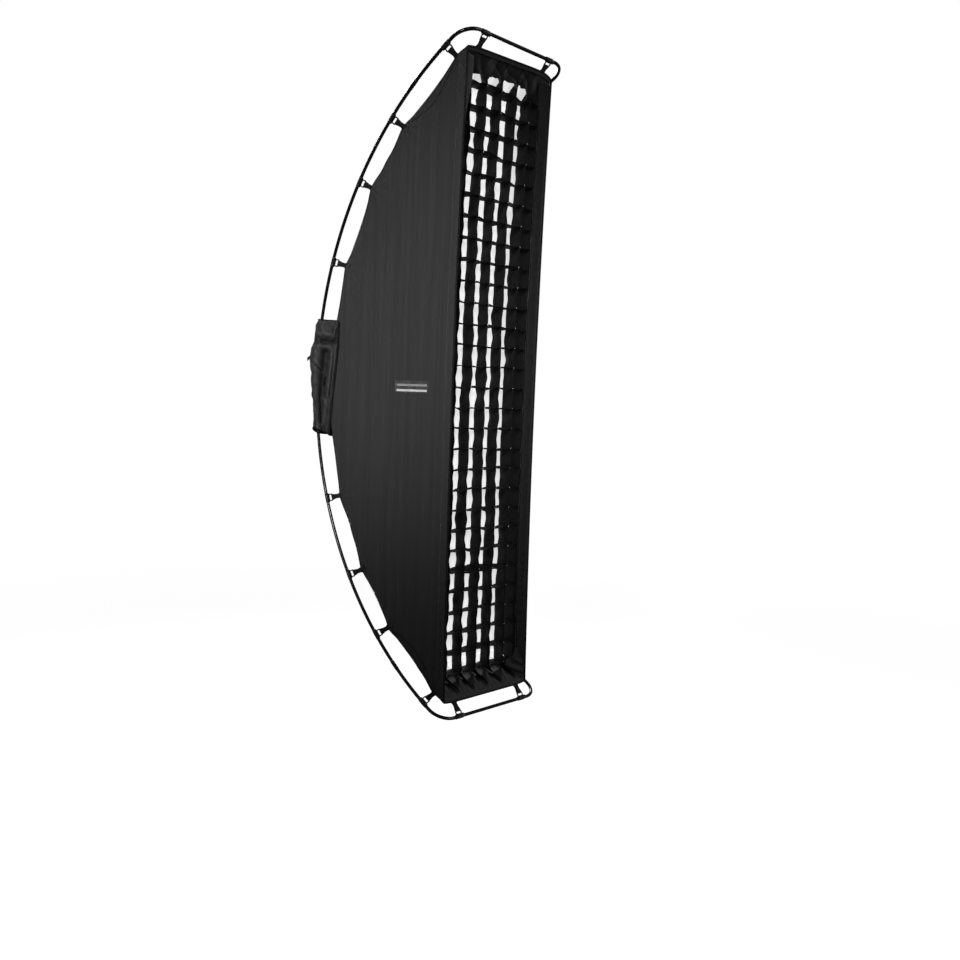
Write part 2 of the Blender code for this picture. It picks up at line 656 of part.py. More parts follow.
def cord_path(distance):
    """The drawcord: up one hanging tail, round the collar, and down the other tail."""
    if distance < CORD_TAIL:
        centre = Vector((CORD_SPREAD, 0, distance - CORD_TAIL_END))
        along = Z
    elif distance > CORD_TAIL + CORD_ROUND:
        down = distance - CORD_TAIL - CORD_ROUND
        centre = Vector((-CORD_SPREAD, 0, CORD_TAIL - CORD_TAIL_END - down))
        along = -Z
    else:
        turn = CORD_HALF_ANGLE + (distance - CORD_TAIL) / CORD_LOOP_RADIUS
        centre = CORD_LOOP_RADIUS * Vector((math.sin(turn), 0, -math.cos(turn)))
        along = Vector((math.cos(turn), 0, math.sin(turn)))
    return at(0, CORD_DEPTH, 0) + centre, Y, along.cross(Y)


def make_cord(looks):
    round_steps = steps(CORD_TAIL + MM, CORD_TAIL + CORD_ROUND - MM, 36)
    distances = [0, CORD_TAIL - MM, *round_steps, CORD_TAIL + CORD_ROUND + MM, 2 * CORD_TAIL + CORD_ROUND]
    sweep("drawcord", looks["webbing"], cord_path, [(distance, CORD_RADIUS) for distance in distances], 6)

    plastic = looks["clip_plastic"]
    top = CORD_LOCK_TOP
    bottom = top - CORD_LOCK_LENGTH
    down = straight(at(0, CORD_DEPTH, 0), Z)
    end_radius = CORD_LOCK_RADIUS - CORD_LOCK_BEVEL
    body_stations = [
        (bottom, end_radius), (bottom + CORD_LOCK_BEVEL, CORD_LOCK_RADIUS),
        (top - CORD_LOCK_BEVEL, CORD_LOCK_RADIUS), (top, end_radius),
    ]
    body = sweep("cord_lock", plastic, down, body_stations, 16)
    hole_stations = [(bottom - MM, CORD_RADIUS + GAP), (top + MM, CORD_RADIUS + GAP)]
    holes = [
        sweep("cord_hole", plastic, straight(at(side * CORD_SPREAD, CORD_DEPTH, 0), Z), hole_stations, 8)
        for side in (-1, 1)
    ]
    button_path = straight(at(0, CORD_DEPTH, (top + bottom) / 2), Y)
    well_bottom = CORD_RADIUS + 2 * GAP + MM
    well_stations = [(well_bottom, BUTTON_RADIUS + GAP), (2 * CORD_LOCK_RADIUS, BUTTON_RADIUS + GAP)]
    holes.append(sweep("button_well", plastic, button_path, well_stations))
    combine(body, "DIFFERENCE", holes)
    button_bottom = well_bottom + BUTTON_TRAVEL + GAP
    button_top = CORD_LOCK_RADIUS + BUTTON_TRAVEL + GAP
    button_stations = [
        (button_bottom, BUTTON_RADIUS),
        (button_top - BUTTON_BEVEL, BUTTON_RADIUS),
        (button_top, BUTTON_RADIUS - BUTTON_BEVEL),
    ]
    sweep("cord_lock_button", plastic, button_path, button_stations)


def make_rear_cover(looks):
    low = (-COVER_HALF_WIDTH, COVER_DEPTH, -COVER_HALF_HEIGHT)
    high = (COVER_HALF_WIDTH, COVER_DEPTH + SHEET_THICKNESS, COVER_HALF_HEIGHT)
    shell = looks["shell_fabric"]
    cover = block("rear_cover", shell, low, high)
    optical_axis = straight(at(0, 0, 0), Y)
    inner = COLLAR_RADIUS - SHEET_THICKNESS
    collar_wall = tube_wall(COVER_DEPTH, COLLAR_REAR, inner, COLLAR_RADIUS)
    collar = sweep("collar", shell, optical_axis, collar_wall, 32, closed=True)
    hole_stations = [(COVER_DEPTH - HOLE_MARGIN, inner), (COVER_DEPTH + HOLE_MARGIN, inner)]
    hole = sweep("hole", shell, optical_axis, hole_stations, 32)
    combine(cover, "DIFFERENCE", [hole])
    combine(cover, "UNION", [collar])
    flap_axes = axes(at(0, 0, 0), X, Y, Z)
    for side, side_name in ((-1, "left"), (1, "right")):
        ends = (-COVER_HALF_HEIGHT, COVER_HALF_HEIGHT)
        flap = prism(f"cover_flap_{side_name}", shell, flap_outline(side), *ends, flap_axes)
        set_origin(flap, at(side * (COVER_HALF_WIDTH + GAP / 2), COVER_DEPTH + SHEET_THICKNESS, 0))
    make_cord(looks)


def make_label(looks):
    outer = -FRONT_WIDTH / 2 - GAP
    low = (outer - LABEL_THICKNESS, LABEL_DEPTH - LABEL_WIDTH / 2, LABEL_Z - LABEL_HEIGHT / 2)
    high = (outer, LABEL_DEPTH + LABEL_WIDTH / 2, LABEL_Z + LABEL_HEIGHT / 2)
    block("side_label", looks["label_print"], low, high)


clear_scene()
looks = make_materials()
make_frame(looks)
make_clips(looks)
make_bag(looks)
make_light_shapers(looks)
make_ring(looks)
make_retainer(looks)
make_adapter(looks)
make_lock(looks)
make_rear_cover(looks)
make_label(looks)
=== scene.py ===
"""The looks of the strip softbox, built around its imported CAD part.

Lengths are in metres in the row frame: the light leaves towards -Y and +Z is up. A "depth" is a distance
behind the plane of the front opening, and an "angle" is measured about the bow's centre line.
"""

import bpy
import numpy as np
from mathutils import Matrix, Vector
from numpy import (arccos, arctan2, array, clip, concatenate, cos, cross, exp, hypot, linspace, maximum,
                   minimum, pi, radians, sin, sqrt, stack, where)
from numpy.linalg import norm


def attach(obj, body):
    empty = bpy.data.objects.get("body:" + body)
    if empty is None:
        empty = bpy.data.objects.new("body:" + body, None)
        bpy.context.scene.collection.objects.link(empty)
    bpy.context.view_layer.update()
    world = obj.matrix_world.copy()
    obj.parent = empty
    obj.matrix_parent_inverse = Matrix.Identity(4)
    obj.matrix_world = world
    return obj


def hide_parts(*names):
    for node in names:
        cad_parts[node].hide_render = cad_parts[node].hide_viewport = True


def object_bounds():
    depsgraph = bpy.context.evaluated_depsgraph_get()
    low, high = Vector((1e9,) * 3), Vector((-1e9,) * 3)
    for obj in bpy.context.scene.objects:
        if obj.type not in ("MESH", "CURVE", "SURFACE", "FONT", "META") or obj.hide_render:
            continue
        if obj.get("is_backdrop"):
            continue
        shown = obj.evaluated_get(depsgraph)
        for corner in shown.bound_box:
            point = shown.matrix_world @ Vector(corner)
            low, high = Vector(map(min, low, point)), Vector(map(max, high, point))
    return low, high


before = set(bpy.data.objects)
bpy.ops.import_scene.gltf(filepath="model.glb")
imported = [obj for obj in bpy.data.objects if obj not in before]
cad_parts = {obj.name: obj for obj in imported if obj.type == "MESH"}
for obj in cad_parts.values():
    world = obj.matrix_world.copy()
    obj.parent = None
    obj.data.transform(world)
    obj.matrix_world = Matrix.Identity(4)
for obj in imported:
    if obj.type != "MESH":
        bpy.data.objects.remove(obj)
packed_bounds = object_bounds()

MM = 0.001
FRONT_Y = -0.334095
HALF_HEIGHT = 0.9
HALF_WIDTH = 0.1715
FRONT_BOW = 0.013
END_EDGE = 0.8985
PANEL_X = 0.1705
CLOTH = 0.0014
BOW_CENTRE = -0.415
BAG_RADIUS = 0.991
BAG_ANGLE = radians(65.24)
RISE_ANGLE = BAG_ANGLE - 0.14
BOW_RADIUS = 1.017
BAR_ANGLE = radians(67.5)
POLE_X = 0.206
CORNER_RADIUS = 0.055
POLE_RADIUS = 0.005
CLIP_ANGLES = tuple(radians(angle) for angle in (21.2, 35.7, 47.7, 62.7))
TAB_ANGLES = [end * angle for end in (-1, 1) for angle in CLIP_ANGLES]
CLIP_BAR_X = 0.130
CLIP_REACH = 0.0172
# Where each scallop of the rear edge starts and ends, in degrees, and its depth in millimetres.
SCALLOPS = ((7, 21.2, 5), (21.2, 35.7, 9), (35.7, 47.7, 9), (47.7, 62.7, 11))
HOLE_RADIUS = 0.081
RING_DEPTH = 0.5855
SIDES = ((-1, "left"), (1, "right"))
ENDS = ((1, "upper"), (-1, "lower"))


# Materials

def put(tree, socket, value):
    """Sets a socket's value, or links another node's output to it."""
    if isinstance(value, bpy.types.NodeSocket):
        tree.links.new(value, socket)
    else:
        socket.default_value = value


def add_node(tree, kind, inputs, **settings):
    """Adds a node and returns its outputs."""
    node = tree.nodes.new(kind)
    for key, value in settings.items():
        setattr(node, key, value)
    for key, value in inputs.items():
        put(tree, node.inputs[key], value)
    return node.outputs


class Look:
    """A procedural material, with short ways to add nodes to it. Its colours are grey levels."""

    def __init__(self, name, roughness=0.7):
        self.material = bpy.data.materials.new(name)
        self.material.use_nodes = True
        self.tree = self.material.node_tree
        self.set("Roughness", roughness)
        self.place = self.add("ShaderNodeTexCoord")
        self.height = None

    def add(self, kind, inputs=None, **settings):
        return add_node(self.tree, kind, inputs or {}, **settings)

    def set(self, socket, value):
        put(self.tree, self.tree.nodes["Principled BSDF"].inputs[socket], value)

    def space(self, scale, coordinates):
        return self.add("ShaderNodeMapping", {"Scale": scale, "Vector": self.place[coordinates]})["Vector"]

    def noise(self, scale, stretch=(1, 1, 1), detail=4):
        inputs = {"Scale": scale, "Detail": detail, "Vector": self.space(stretch, "Object")}
        return self.add("ShaderNodeTexNoise", inputs)["Fac"]

    def wave(self, scale, direction):
        inputs = {"Scale": scale, "Distortion": 0.6, "Detail": 1.0, "Vector": self.space((1, 1, 1), "UV")}
        return self.add("ShaderNodeTexWave", inputs, wave_type="BANDS", bands_direction=direction)["Fac"]

    def math(self, operation, first, second):
        return self.add("ShaderNodeMath", {0: first, 1: second}, operation=operation)["Value"]

    def times(self, first, second):
        return self.math("MULTIPLY", first, second)

    def plus(self, first, second):
        return self.math("ADD", first, second)

    def ramp(self, factor, *stops):
        node = self.tree.nodes.new("ShaderNodeValToRGB")
        elements = node.color_ramp.elements
        while len(elements) < len(stops):
            elements.new(0.5)
        for element, (position, level) in zip(elements, stops):
            element.position = position
            element.color = (level, level, level, 1.0)
        put(self.tree, node.inputs["Fac"], factor)
        return node.outputs["Color"]

    def colour(self, factor, *stops):
        self.set("Base Color", self.ramp(factor, *stops))

    def rough(self, factor, low, high):
        inputs = {"Value": factor, "To Min": low, "To Max": high}
        self.set("Roughness", self.add("ShaderNodeMapRange", inputs)["Result"])

    def bump(self, factor, distance, strength):
        inputs = {"Height": factor, "Distance": distance, "Strength": strength}
        if self.height is not None:
            inputs["Normal"] = self.height
        self.height = self.add("ShaderNodeBump", inputs)["Normal"]
        self.set("Normal", self.height)


def cloth_look(name, dark, light, weave=420, sheen=0.25, streak=(24, 24, 0.8), roughness=(0.62, 0.8),
               fold=0.0, gloss=0.4, crease_shade=1.0, shaded=False):
    """Woven cloth: streaks along the warp, a fine plain weave, and soft creases where fold is above 0.

    A crease_shade below 1 paints shade into hollows and a highlight onto ridges, read from the mesh's
    pointiness. A shaded look also paints shade and highlights onto the piece's own folds, from its fold_shade
    attribute.
    """
    look = Look(name)
    streaks = look.noise(2.2, streak, detail=6)
    grain = look.noise(900, detail=2)
    mixed = look.plus(look.times(streaks, 0.8), look.times(grain, 0.2))
    tint = look.ramp(mixed, (0.34, dark), (0.68, light))
    # Painted shade in the hollows and painted highlight on the ridges, from the mesh's pointiness.
    pointiness = look.add("ShaderNodeNewGeometry")["Pointiness"]
    hollow = look.ramp(pointiness, (0.478, crease_shade), (0.5, 1.0), (0.524, 2.0 - crease_shade))
    blend = look.add("ShaderNodeVectorMath", {0: tint, 1: hollow}, operation="MULTIPLY")["Vector"]
    # Painted shade and highlights of the piece's own folds, from its fold_shade attribute.
    if shaded:
        shade = look.add("ShaderNodeAttribute", attribute_name="fold_shade")["Fac"]
        blend = look.add("ShaderNodeVectorMath", {0: blend, "Scale": shade}, operation="SCALE")["Vector"]
    look.set("Base Color", blend)
    look.rough(grain, *roughness)
    look.set("Sheen Weight", sheen)
    look.set("Sheen Roughness", 0.45)
    look.set("Specular IOR Level", gloss)
    look.bump(look.times(look.wave(weave, "X"), look.wave(weave, "Y")), 0.0002, 0.5)
    if fold:
        look.bump(look.noise(14, (1, 1, 0.35), detail=3), fold, 0.6)
    return look


def webbing_look(name, dark, light, ribs):
    look = Look(name)
    rib = look.wave(ribs, "X")
    fuzz = look.noise(1400, detail=2)
    look.colour(look.plus(look.times(rib, 0.5), look.times(fuzz, 0.5)), (0.2, dark), (0.9, light))
    look.rough(fuzz, 0.65, 0.9)
    look.set("Sheen Weight", 0.1)
    look.set("Specular IOR Level", 0.3)
    look.bump(look.times(rib, look.wave(ribs * 0.55, "DIAGONAL")), 0.0004, 0.8)
    return look


def thread_look(name, dark, light):
    look = Look(name, 0.6)
    look.colour(look.noise(800), (0.3, dark), (0.7, light))
    look.set("Sheen Weight", 0.4)
    look.bump(look.noise(2600, (1, 1, 3)), 0.0002, 0.6)
    return look


def coating_look():
    """Glossy black paint with faint orange peel and rub marks where the clips slide."""
    look = Look("pole_coating_gloss", 0.2)
    rubs = look.noise(55, (1, 1, 0.3), detail=6)
    look.colour(rubs, (0.35, 0.002), (0.6, 0.004), (0.82, 0.012))
    look.rough(rubs, 0.14, 0.34)
    look.set("Specular IOR Level", 0.3)
    look.set("Coat Weight", 0.35)
    look.set("Coat Roughness", 0.12)
    look.bump(look.noise(240, detail=2), 0.0003, 0.25)
    return look


def plastic_look(name, dark, light, low, high):
    look = Look(name)
    grain = look.noise(1300, detail=3)
    look.colour(look.noise(70, detail=5), (0.35, dark), (0.7, light))
    look.rough(grain, low, high)
    look.bump(grain, 0.0002, 0.5)
    return look


def metal_look(name, dark, light, low, high, stretch):
    look = Look(name)
    look.set("Metallic", 1.0)
    brush = look.noise(260, stretch, detail=6)
    stain = look.noise(24, detail=5)
    look.colour(look.times(look.plus(brush, stain), 0.5), (0.35, dark), (0.65, light))
    look.rough(brush, low, high)
    look.bump(brush, 0.0002, 0.3)
    return look


def patch_look():
    """A woven patch: a dark ground with one plain light stripe and one plain grey stripe."""
    look = Look("woven_patch")
    spot = look.add("ShaderNodeSeparateXYZ", {"Vector": look.place["UV"]})

    def band(axis, low, high):
        above = look.math("GREATER_THAN", spot[axis], low)
        return look.times(above, look.math("LESS_THAN", spot[axis], high))

    stripes = look.plus(band("Y", 0.12, 0.3), look.times(band("Y", 0.56, 0.74), 0.42))
    pale = look.times(stripes, band("X", 0.05, 0.95))
    threads = look.times(look.noise(1200, detail=2), 0.25)
    look.colour(look.plus(look.times(pale, 0.8), threads), (0.1, 0.02), (0.95, 0.75))
    look.set("Sheen Weight", 0.3)
    look.bump(look.times(look.wave(60, "X"), look.wave(18, "Y")), 0.0003, 0.6)
    return look


def make_looks():
    facing = dict(sheen=0.1, fold=0.002, streak=(30, 30, 30), crease_shade=0.4)
    sleeve = dict(sheen=0.1, streak=(30, 30, 12))
    looks = {
        "shell": cloth_look("shell_nylon", 0.028, 0.040, sheen=0.12, streak=(46, 46, 0.5), fold=0.0012),
        "lining": cloth_look("silver_lining", 0.5, 0.66, weave=300, sheen=0.0, roughness=(0.3, 0.42)),
        "hem": cloth_look("hem_binding", 0.003, 0.007, weave=600, sheen=0.03, streak=(60, 60, 60), gloss=0.2),
        "lip": cloth_look("lip_cloth", 0.007, 0.013, gloss=0.25, **facing),
        # A lighter copy of the lip cloth: painted light for facing pieces that catch the light.
        "lip_lit": cloth_look("lip_hem_cloth", 0.024, 0.036, **facing),
        "swag": cloth_look("gathered_facing", 0.009, 0.016, shaded=True, **facing),
        # A lighter copy of the facing cloth for the upward-facing pleats and gather: painted light.
        "pleats": cloth_look("pleated_facing", 0.024, 0.038, shaded=True, **facing),
        "grid": cloth_look("grid_cloth", 0.002, 0.005, sheen=0.0, streak=(20, 20, 20), fold=0.002,
                           gloss=0.15),
        "sleeve": cloth_look("sleeve_nylon", 0.014, 0.028, fold=0.004, crease_shade=0.2, **sleeve),
        "sleeve_folds": cloth_look("sleeve_nylon_folds", 0.016, 0.031, fold=0.003, crease_shade=0.3,
                                   shaded=True, **sleeve),
        "diffuser": cloth_look("diffuser_silk_glowing", 0.80, 0.92, weave=500, sheen=0.3, streak=(40, 1, 1.2),
                               roughness=(0.5, 0.65), fold=0.002),
        # A grey copy of the skirt cloth: painted shade on the rear part of the lower skirt.
        "skirt_tape": cloth_look("skirt_tape", 0.13, 0.19, weave=900, sheen=0.1, streak=(60, 60, 60)),
        "baffle": cloth_look("baffle_silk", 0.72, 0.85, weave=500, sheen=0.3),
        "loop_tape": cloth_look("loop_tape", 0.004, 0.012, weave=900, sheen=0.2, streak=(90, 90, 90),
                                gloss=0.2),
        "elastic": webbing_look("white_elastic", 0.5, 0.72, 700),
        "webbing": webbing_look("black_webbing", 0.004, 0.016, 260),
        "cord": webbing_look("braided_cord", 0.008, 0.035, 330),
        "thread": thread_look("dark_thread", 0.012, 0.035),
        "pale_thread": thread_look("pale_thread", 0.45, 0.7),
        "coating": coating_look(),
        "plastic": plastic_look("moulded_plastic", 0.008, 0.018, 0.36, 0.5),
        "knob": plastic_look("knob_rubber", 0.013, 0.022, 0.5, 0.68),
        "cast": metal_look("black_cast_metal", 0.05, 0.09, 0.4, 0.58, (1, 1, 1)),
        "steel": metal_look("brushed_steel", 0.5, 0.68, 0.24, 0.42, (1, 14, 1)),
        "patch": patch_look(),
    }
    looks["lining"].set("Metallic", 0.75)
    # Painted light: the diffuser and its skirts glow, though no lamp is inside.
    looks["diffuser"].set("Emission Color", (1, 1, 1, 1))
    looks["diffuser"].set("Emission Strength", 0.66)
    return {key: look.material for key, look in looks.items()}


# Building pieces

def waves(seed, u, v, size, lean=0.0, spread=pi, count=7):
    """Smooth random relief of about one unit: plane waves of one size, turned by up to spread from lean."""
    draw = np.random.default_rng(seed)
    total = np.zeros(np.broadcast(u, v).shape)
    for _ in range(count):
        turn = lean + spread * (2 * draw.random() - 1)
        pace = 2 * pi / (size * (0.7 + 0.6 * draw.random()))
        total = total + sin(pace * (u * cos(turn) + v * sin(turn)) + 2 * pi * draw.random())
    return total / sqrt(count)


def ease(value, start, end):
    """0 up to start, 1 from end on, and smooth between them."""
    t = clip((value - start) / (end - start), 0, 1)
    return t * t * (3 - 2 * t)


def bell(value, middle, width):
    """1 at the middle and gone a few widths away."""
    return exp(-(((value - middle) / width) ** 2))


def down(start, end, count):
    """Even values down a sheet's rows."""
    return linspace(start, end, count)[:, None]


def over(start, end, count):
    """Even values over a sheet's columns."""
    return linspace(start, end, count)[None, :]


def full_turn(count):
    return linspace(0, 2 * pi, count, endpoint=False)


def points_at(x, depth, z):
    x, depth, z = np.broadcast_arrays(x, depth, z)
    return stack([x, FRONT_Y + depth, z], axis=-1).astype(float)


def bow_point(x, radius, angle):
    return points_at(x, BOW_CENTRE + radius * cos(angle), radius * sin(angle))


def unit(vectors):
    length = norm(vectors, axis=-1, keepdims=True)
    return vectors / maximum(length, 1e-9)


def new_object(name, data):
    thing = bpy.data.objects.new(name, data)
    bpy.context.scene.collection.objects.link(thing)
    return thing


STAND_INS = ("_cloth", "_tube", "_bar", "_body", "_elastic", "_braid", "_cap", "_grip", "_patch")


def make_piece(name, vertices, faces, material, body="root", slot="shell_fabric", uvs=None):
    """A shown piece. One named after a CAD node and ending in a STAND_INS word takes that node's place."""
    mesh = bpy.data.meshes.new(name)
    mesh.from_pydata([tuple(v) for v in vertices], [], [tuple(int(i) for i in f) for f in faces])
    mesh.update()
    mesh.materials.append(LOOKS[material])
    if uvs is not None:
        layer = mesh.uv_layers.new(name="cloth")
        corners = np.zeros(len(mesh.loops), int)
        mesh.loops.foreach_get("vertex_index", corners)
        layer.data.foreach_set("uv", uvs[corners].astype(np.float32).ravel())
    mesh.shade_smooth()
    piece = new_object(name, mesh)
    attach(piece, body)
    node = name.rpartition("_")[0]
    if name.endswith(STAND_INS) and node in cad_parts:
        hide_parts(node)
    return piece


def cells(values):
    """The values at the four corners of each cell of a grid."""
    return stack([values[:-1, :-1], values[1:, :-1], values[1:, 1:], values[:-1, 1:]], axis=-1)


def quads(rows, columns, wrap=False, start=0):
    """Faces of a grid of points; wrap joins the last column to the first."""
    index = start + np.arange(rows * columns).reshape(rows, columns)
    if wrap:
        index = concatenate([index, index[:, :1]], axis=1)
    return cells(index).reshape(-1, 4)


def pairs(u, v):
    """Each u with each v, as the points of a grid."""
    return stack(np.meshgrid(u, v, indexing="ij"), axis=-1).reshape(-1, 2)


def sums(steps):
    """How far each step begins from the first one, and where the last one ends."""
    return concatenate([[0], np.cumsum(steps)])


def path_run(path):
    """How far each point is along a path."""
    return sums(norm(np.diff(path, axis=0), axis=-1))


def run_lengths(points):
    """How far each point of a grid is along its rows and columns, in metres."""
    return pairs(*(sums(norm(np.diff(points, axis=axis), axis=-1).mean(axis=1 - axis)) for axis in (0, 1)))


def thicken(piece, thickness, inner=None):
    modifier = piece.modifiers.new("cloth_thickness", "SOLIDIFY")
    modifier.thickness = thickness
    modifier.offset = 0
    if inner:
        piece.data.materials.append(LOOKS[inner])
        modifier.material_offset = 1


def sheet(name, points, material, body="root", slot="shell_fabric", thickness=CLOTH, inner=None, wrap=False,
          hole=None, shade=None):
    """Cloth over a grid of points. hole marks faces to leave out; shade is painted shade and highlight."""
    faces = quads(*points.shape[:2], wrap)
    if hole is not None:
        faces = faces[~hole.ravel()]
    piece = make_piece(name, points.reshape(-1, 3), faces, material, body, slot, run_lengths(points))
    if shade is not None:
        layer = piece.data.attributes.new("fold_shade", "FLOAT", "POINT")
        layer.data.foreach_set("value", np.broadcast_to(shade, points.shape[:2]).astype(np.float32).ravel())
    thicken(piece, thickness, inner)
    return piece


def facing(side, points):
    """A left or right sheet's points, ordered so that its face is outwards."""
    return points if side < 0 else points[:, ::-1]


def round_hole(points, radius, reach):
    """Moves the points within reach of a round hole onto its edge, and marks the faces inside it."""
    flat = points[..., [0, 2]]
    near = abs(hypot(*np.moveaxis(flat, -1, 0)) - radius) < reach
    points[..., [0, 2]] = where(near[..., None], unit(flat) * radius, flat)
    return cells(hypot(points[..., 0], points[..., 2])).min(axis=-1) < radius - 0.0005


def frames(path, closed=False):
    """Two directions across a path at each point, turned as little as possible along it."""
    ahead = np.roll(path, -1, axis=0) - np.roll(path, 1, axis=0)
    if not closed:
        ahead[0] = path[1] - path[0]
        ahead[-1] = path[-1] - path[-2]
    ahead = unit(ahead)
    side = array(Vector(ahead[0]).orthogonal().normalized())
    sides = []
    for direction in ahead:
        side = side - direction * side.dot(direction)
        side = side / norm(side)
        sides.append(side)
    sides = array(sides)
    return sides, cross(ahead, sides)


def tube_mesh(path, radius, sides=10, closed=False, start=0):
    """Vertices, faces and UVs of a round tube; radius may change along it."""
    path = np.asarray(path, float)
    radius = np.broadcast_to(radius, len(path))[:, None, None]
    across, up = frames(path, closed)
    turn = full_turn(sides)[None, :, None]
    rings = path[:, None] + radius * (cos(turn) * across[:, None] + sin(turn) * up[:, None])
    faces = [list(face) for face in quads(len(path), sides, wrap=True, start=start)]
    last = start + (len(path) - 1) * sides
    if closed:
        nearest = int(np.argmin(norm(rings[0] - rings[-1][0], axis=1)))
        for i in range(sides):
            j = (i + 1) % sides
            faces.append([last + i, start + (i + nearest) % sides, start + (j + nearest) % sides, last + j])
    else:
        faces.append(list(range(start, start + sides)))
        faces.append(list(range(last + sides - 1, last - 1, -1)))
    return rings.reshape(-1, 3), faces, pairs(path_run(path), linspace(0, 0.02, sides))


def tubes(name, paths, radius, material, sides=10, body="root", slot="shell_fabric", closed=False):
    vertices, faces, uvs, count = [], [], [], 0
    for path in paths:
        points, path_faces, path_uvs = tube_mesh(path, radius, sides, closed, count)
        vertices.append(points)
        faces.extend(path_faces)
        uvs.append(path_uvs)
        count += len(points)
    make_piece(name, concatenate(vertices), faces, material, body, slot, concatenate(uvs))


def binding(name, path, radius, sides=10, body="root", closed=False):
    """A bound edge along one path."""
    tubes(name, [path], radius, "hem", sides, body, closed=closed)


def resample(path, spacing):
    """Even points along a path."""
    path = np.asarray(path, float)
    run = path_run(path)
    places = linspace(0, run[-1], max(2, int(round(run[-1] / spacing)) + 1))
    return stack([np.interp(places, run, values) for values in path.T], axis=-1)


def rounded(path, times=3):
    """A path with its corners cut off repeatedly, and its ends kept."""
    path = np.asarray(path, float)
    for _ in range(times):
        near = 0.75 * path[:-1] + 0.25 * path[1:]
        far = 0.25 * path[:-1] + 0.75 * path[1:]
        path = concatenate([path[:1], stack([near, far], axis=1).reshape(-1, *path.shape[1:]), path[-1:]])
    return path


def stitches(name, paths, body="root", slot="shell_fabric", pitch=0.0045, length=0.0031, radius=0.00035):
    """A row of separate thread stitches along each path."""
    vertices, faces = [], []
    for path in paths:
        path = resample(path, pitch / 3)
        across, up = frames(path)
        for i in range(1, len(path) - 1, 3):
            half = unit(path[i + 1] - path[i - 1]) * length / 2
            base = len(vertices)
            ring = [path[i] + radius * (cos(turn) * across[i] + sin(turn) * up[i]) for turn in full_turn(4)]
            vertices += [path[i] - half, *ring, path[i] + half]
            for a, b in ((1, 2), (2, 3), (3, 4), (4, 1)):
                faces += [(base, base + b, base + a), (base + 5, base + a, base + b)]
    make_piece(name, array(vertices), faces, "thread", body, slot)


# The bag

def sag(angle):
    """How far the rear edge is drawn in between two tabs."""
    size = abs(np.degrees(angle))
    total = np.zeros(np.shape(angle))
    for start, end, depth in SCALLOPS:
        share = clip((size - start) / (end - start), 0, 1)
        total = total + depth * MM * sin(pi * share) ** 1.3
    return total


def front_depth(z):
    return FRONT_BOW * (1 - (z / HALF_HEIGHT) ** 2)


def end_rise(x, end):
    """How far the upper or lower front edge bows outwards between its corners."""
    middle = 1 - minimum(abs(x) / HALF_WIDTH, 1) ** 8
    return where(np.asarray(end) > 0, 0.0105 + 0.030 * x, 0.0045) * middle


def side_spot(angle, share):
    """Depth and height on a side panel: share is 0 at the front edge and 1 at the rear edge."""
    radius = BAG_RADIUS - sag(angle)
    z = radius * sin(angle)
    front = front_depth(z)
    rear = maximum(BOW_CENTRE + radius * cos(angle), front + 0.006)
    return front + (rear - front) * share, z


def side_relief(side, depth, z):
    """How far a side panel's cloth stands out from flat."""
    angle = arctan2(z, depth - BOW_CENTRE)
    inside = maximum(BAG_RADIUS - sag(angle) - hypot(z, depth - BOW_CENTRE), 0)
    behind = maximum(depth - front_depth(z), 0)
    relief = -0.0025 * exp(-inside / 0.045) * sag(angle) / 0.01
    for number, tab in enumerate(TAB_ANGLES):
        tab_depth, tab_z = BOW_CENTRE + BAG_RADIUS * cos(tab), BAG_RADIUS * sin(tab)
        distance = hypot(depth - tab_depth, z - tab_z)
        turn = arctan2(z - tab_z, tab_depth - depth)
        fan = cos(11 * turn + number) * exp(-distance / 0.075) * (1 - exp(-distance / 0.012))
        relief += 0.0035 * bell(distance, 0, 0.03) + 0.0016 * fan
    seed = 10 + side
    relief += 0.0022 * waves(seed, depth, z, 0.42) * (0.25 + 0.75 * ease(behind, 0.04, 0.2))
    relief += 0.0007 * waves(seed + 4, depth, z, 0.06, 0.0, 0.12)
    low = ease(-z, 0.45, 0.55) * (1 - ease(-z, 0.72, 0.80)) + 0.25
    pucker = sin(2 * pi * (z / 0.023 + 0.35 * sin(z / 0.031)) + 70 * behind)
    relief += 0.0016 * pucker * low * bell(behind, 0.016, 0.009)
    return relief * ease(behind, 0.0, 0.02)


def side_surface(side, depth, z, lift=0.0):
    return points_at(side * (PANEL_X + side_relief(side, depth, z) + lift), depth, z)


def make_side_panels():
    angles = down(-BAG_ANGLE, BAG_ANGLE, 420)
    depth, z = side_spot(angles, over(0, 1, 130))
    for side, name in SIDES:
        points = facing(side, side_surface(side, depth, z))
        sheet(f"side_panel_{name}_cloth", points, "shell", inner="lining")
        piping = side_surface(side, *side_spot(angles[:, 0], 1.0), 0.0004)
        binding(f"rear_piping_{name}", piping, 0.0017, 8)
        make_front_hem(side, name)
        make_edge_seams(side, name)


def make_front_hem(side, name):
    """The folded band behind the front edge, its bound edge and its two stitch lines."""
    z = down(-0.888, 0.888, 400)
    front = front_depth(z)
    band = minimum(0.029, 0.9 * (sqrt(BAG_RADIUS ** 2 - z ** 2) + BOW_CENTRE - front))
    depth = front + band * over(0.03, 1, 12)
    lift = 0.0016 + 0.0003 * waves(31 + side, depth, z, 0.05)
    sheet(f"front_hem_{name}", facing(side, side_surface(side, depth, z, lift)), "shell", thickness=0.001)
    edge_z = linspace(-0.899, 0.899, 300)
    edge = points_at(side * (PANEL_X + 0.0004), front_depth(edge_z) + 0.0004, edge_z)
    binding(f"front_binding_{name}", edge, 0.0026)
    rows = [side_surface(side, (front + band * share)[:, 0], z[:, 0], 0.0023) for share in (0.14, 0.9)]
    stitches(f"front_hem_stitches_{name}", rows)


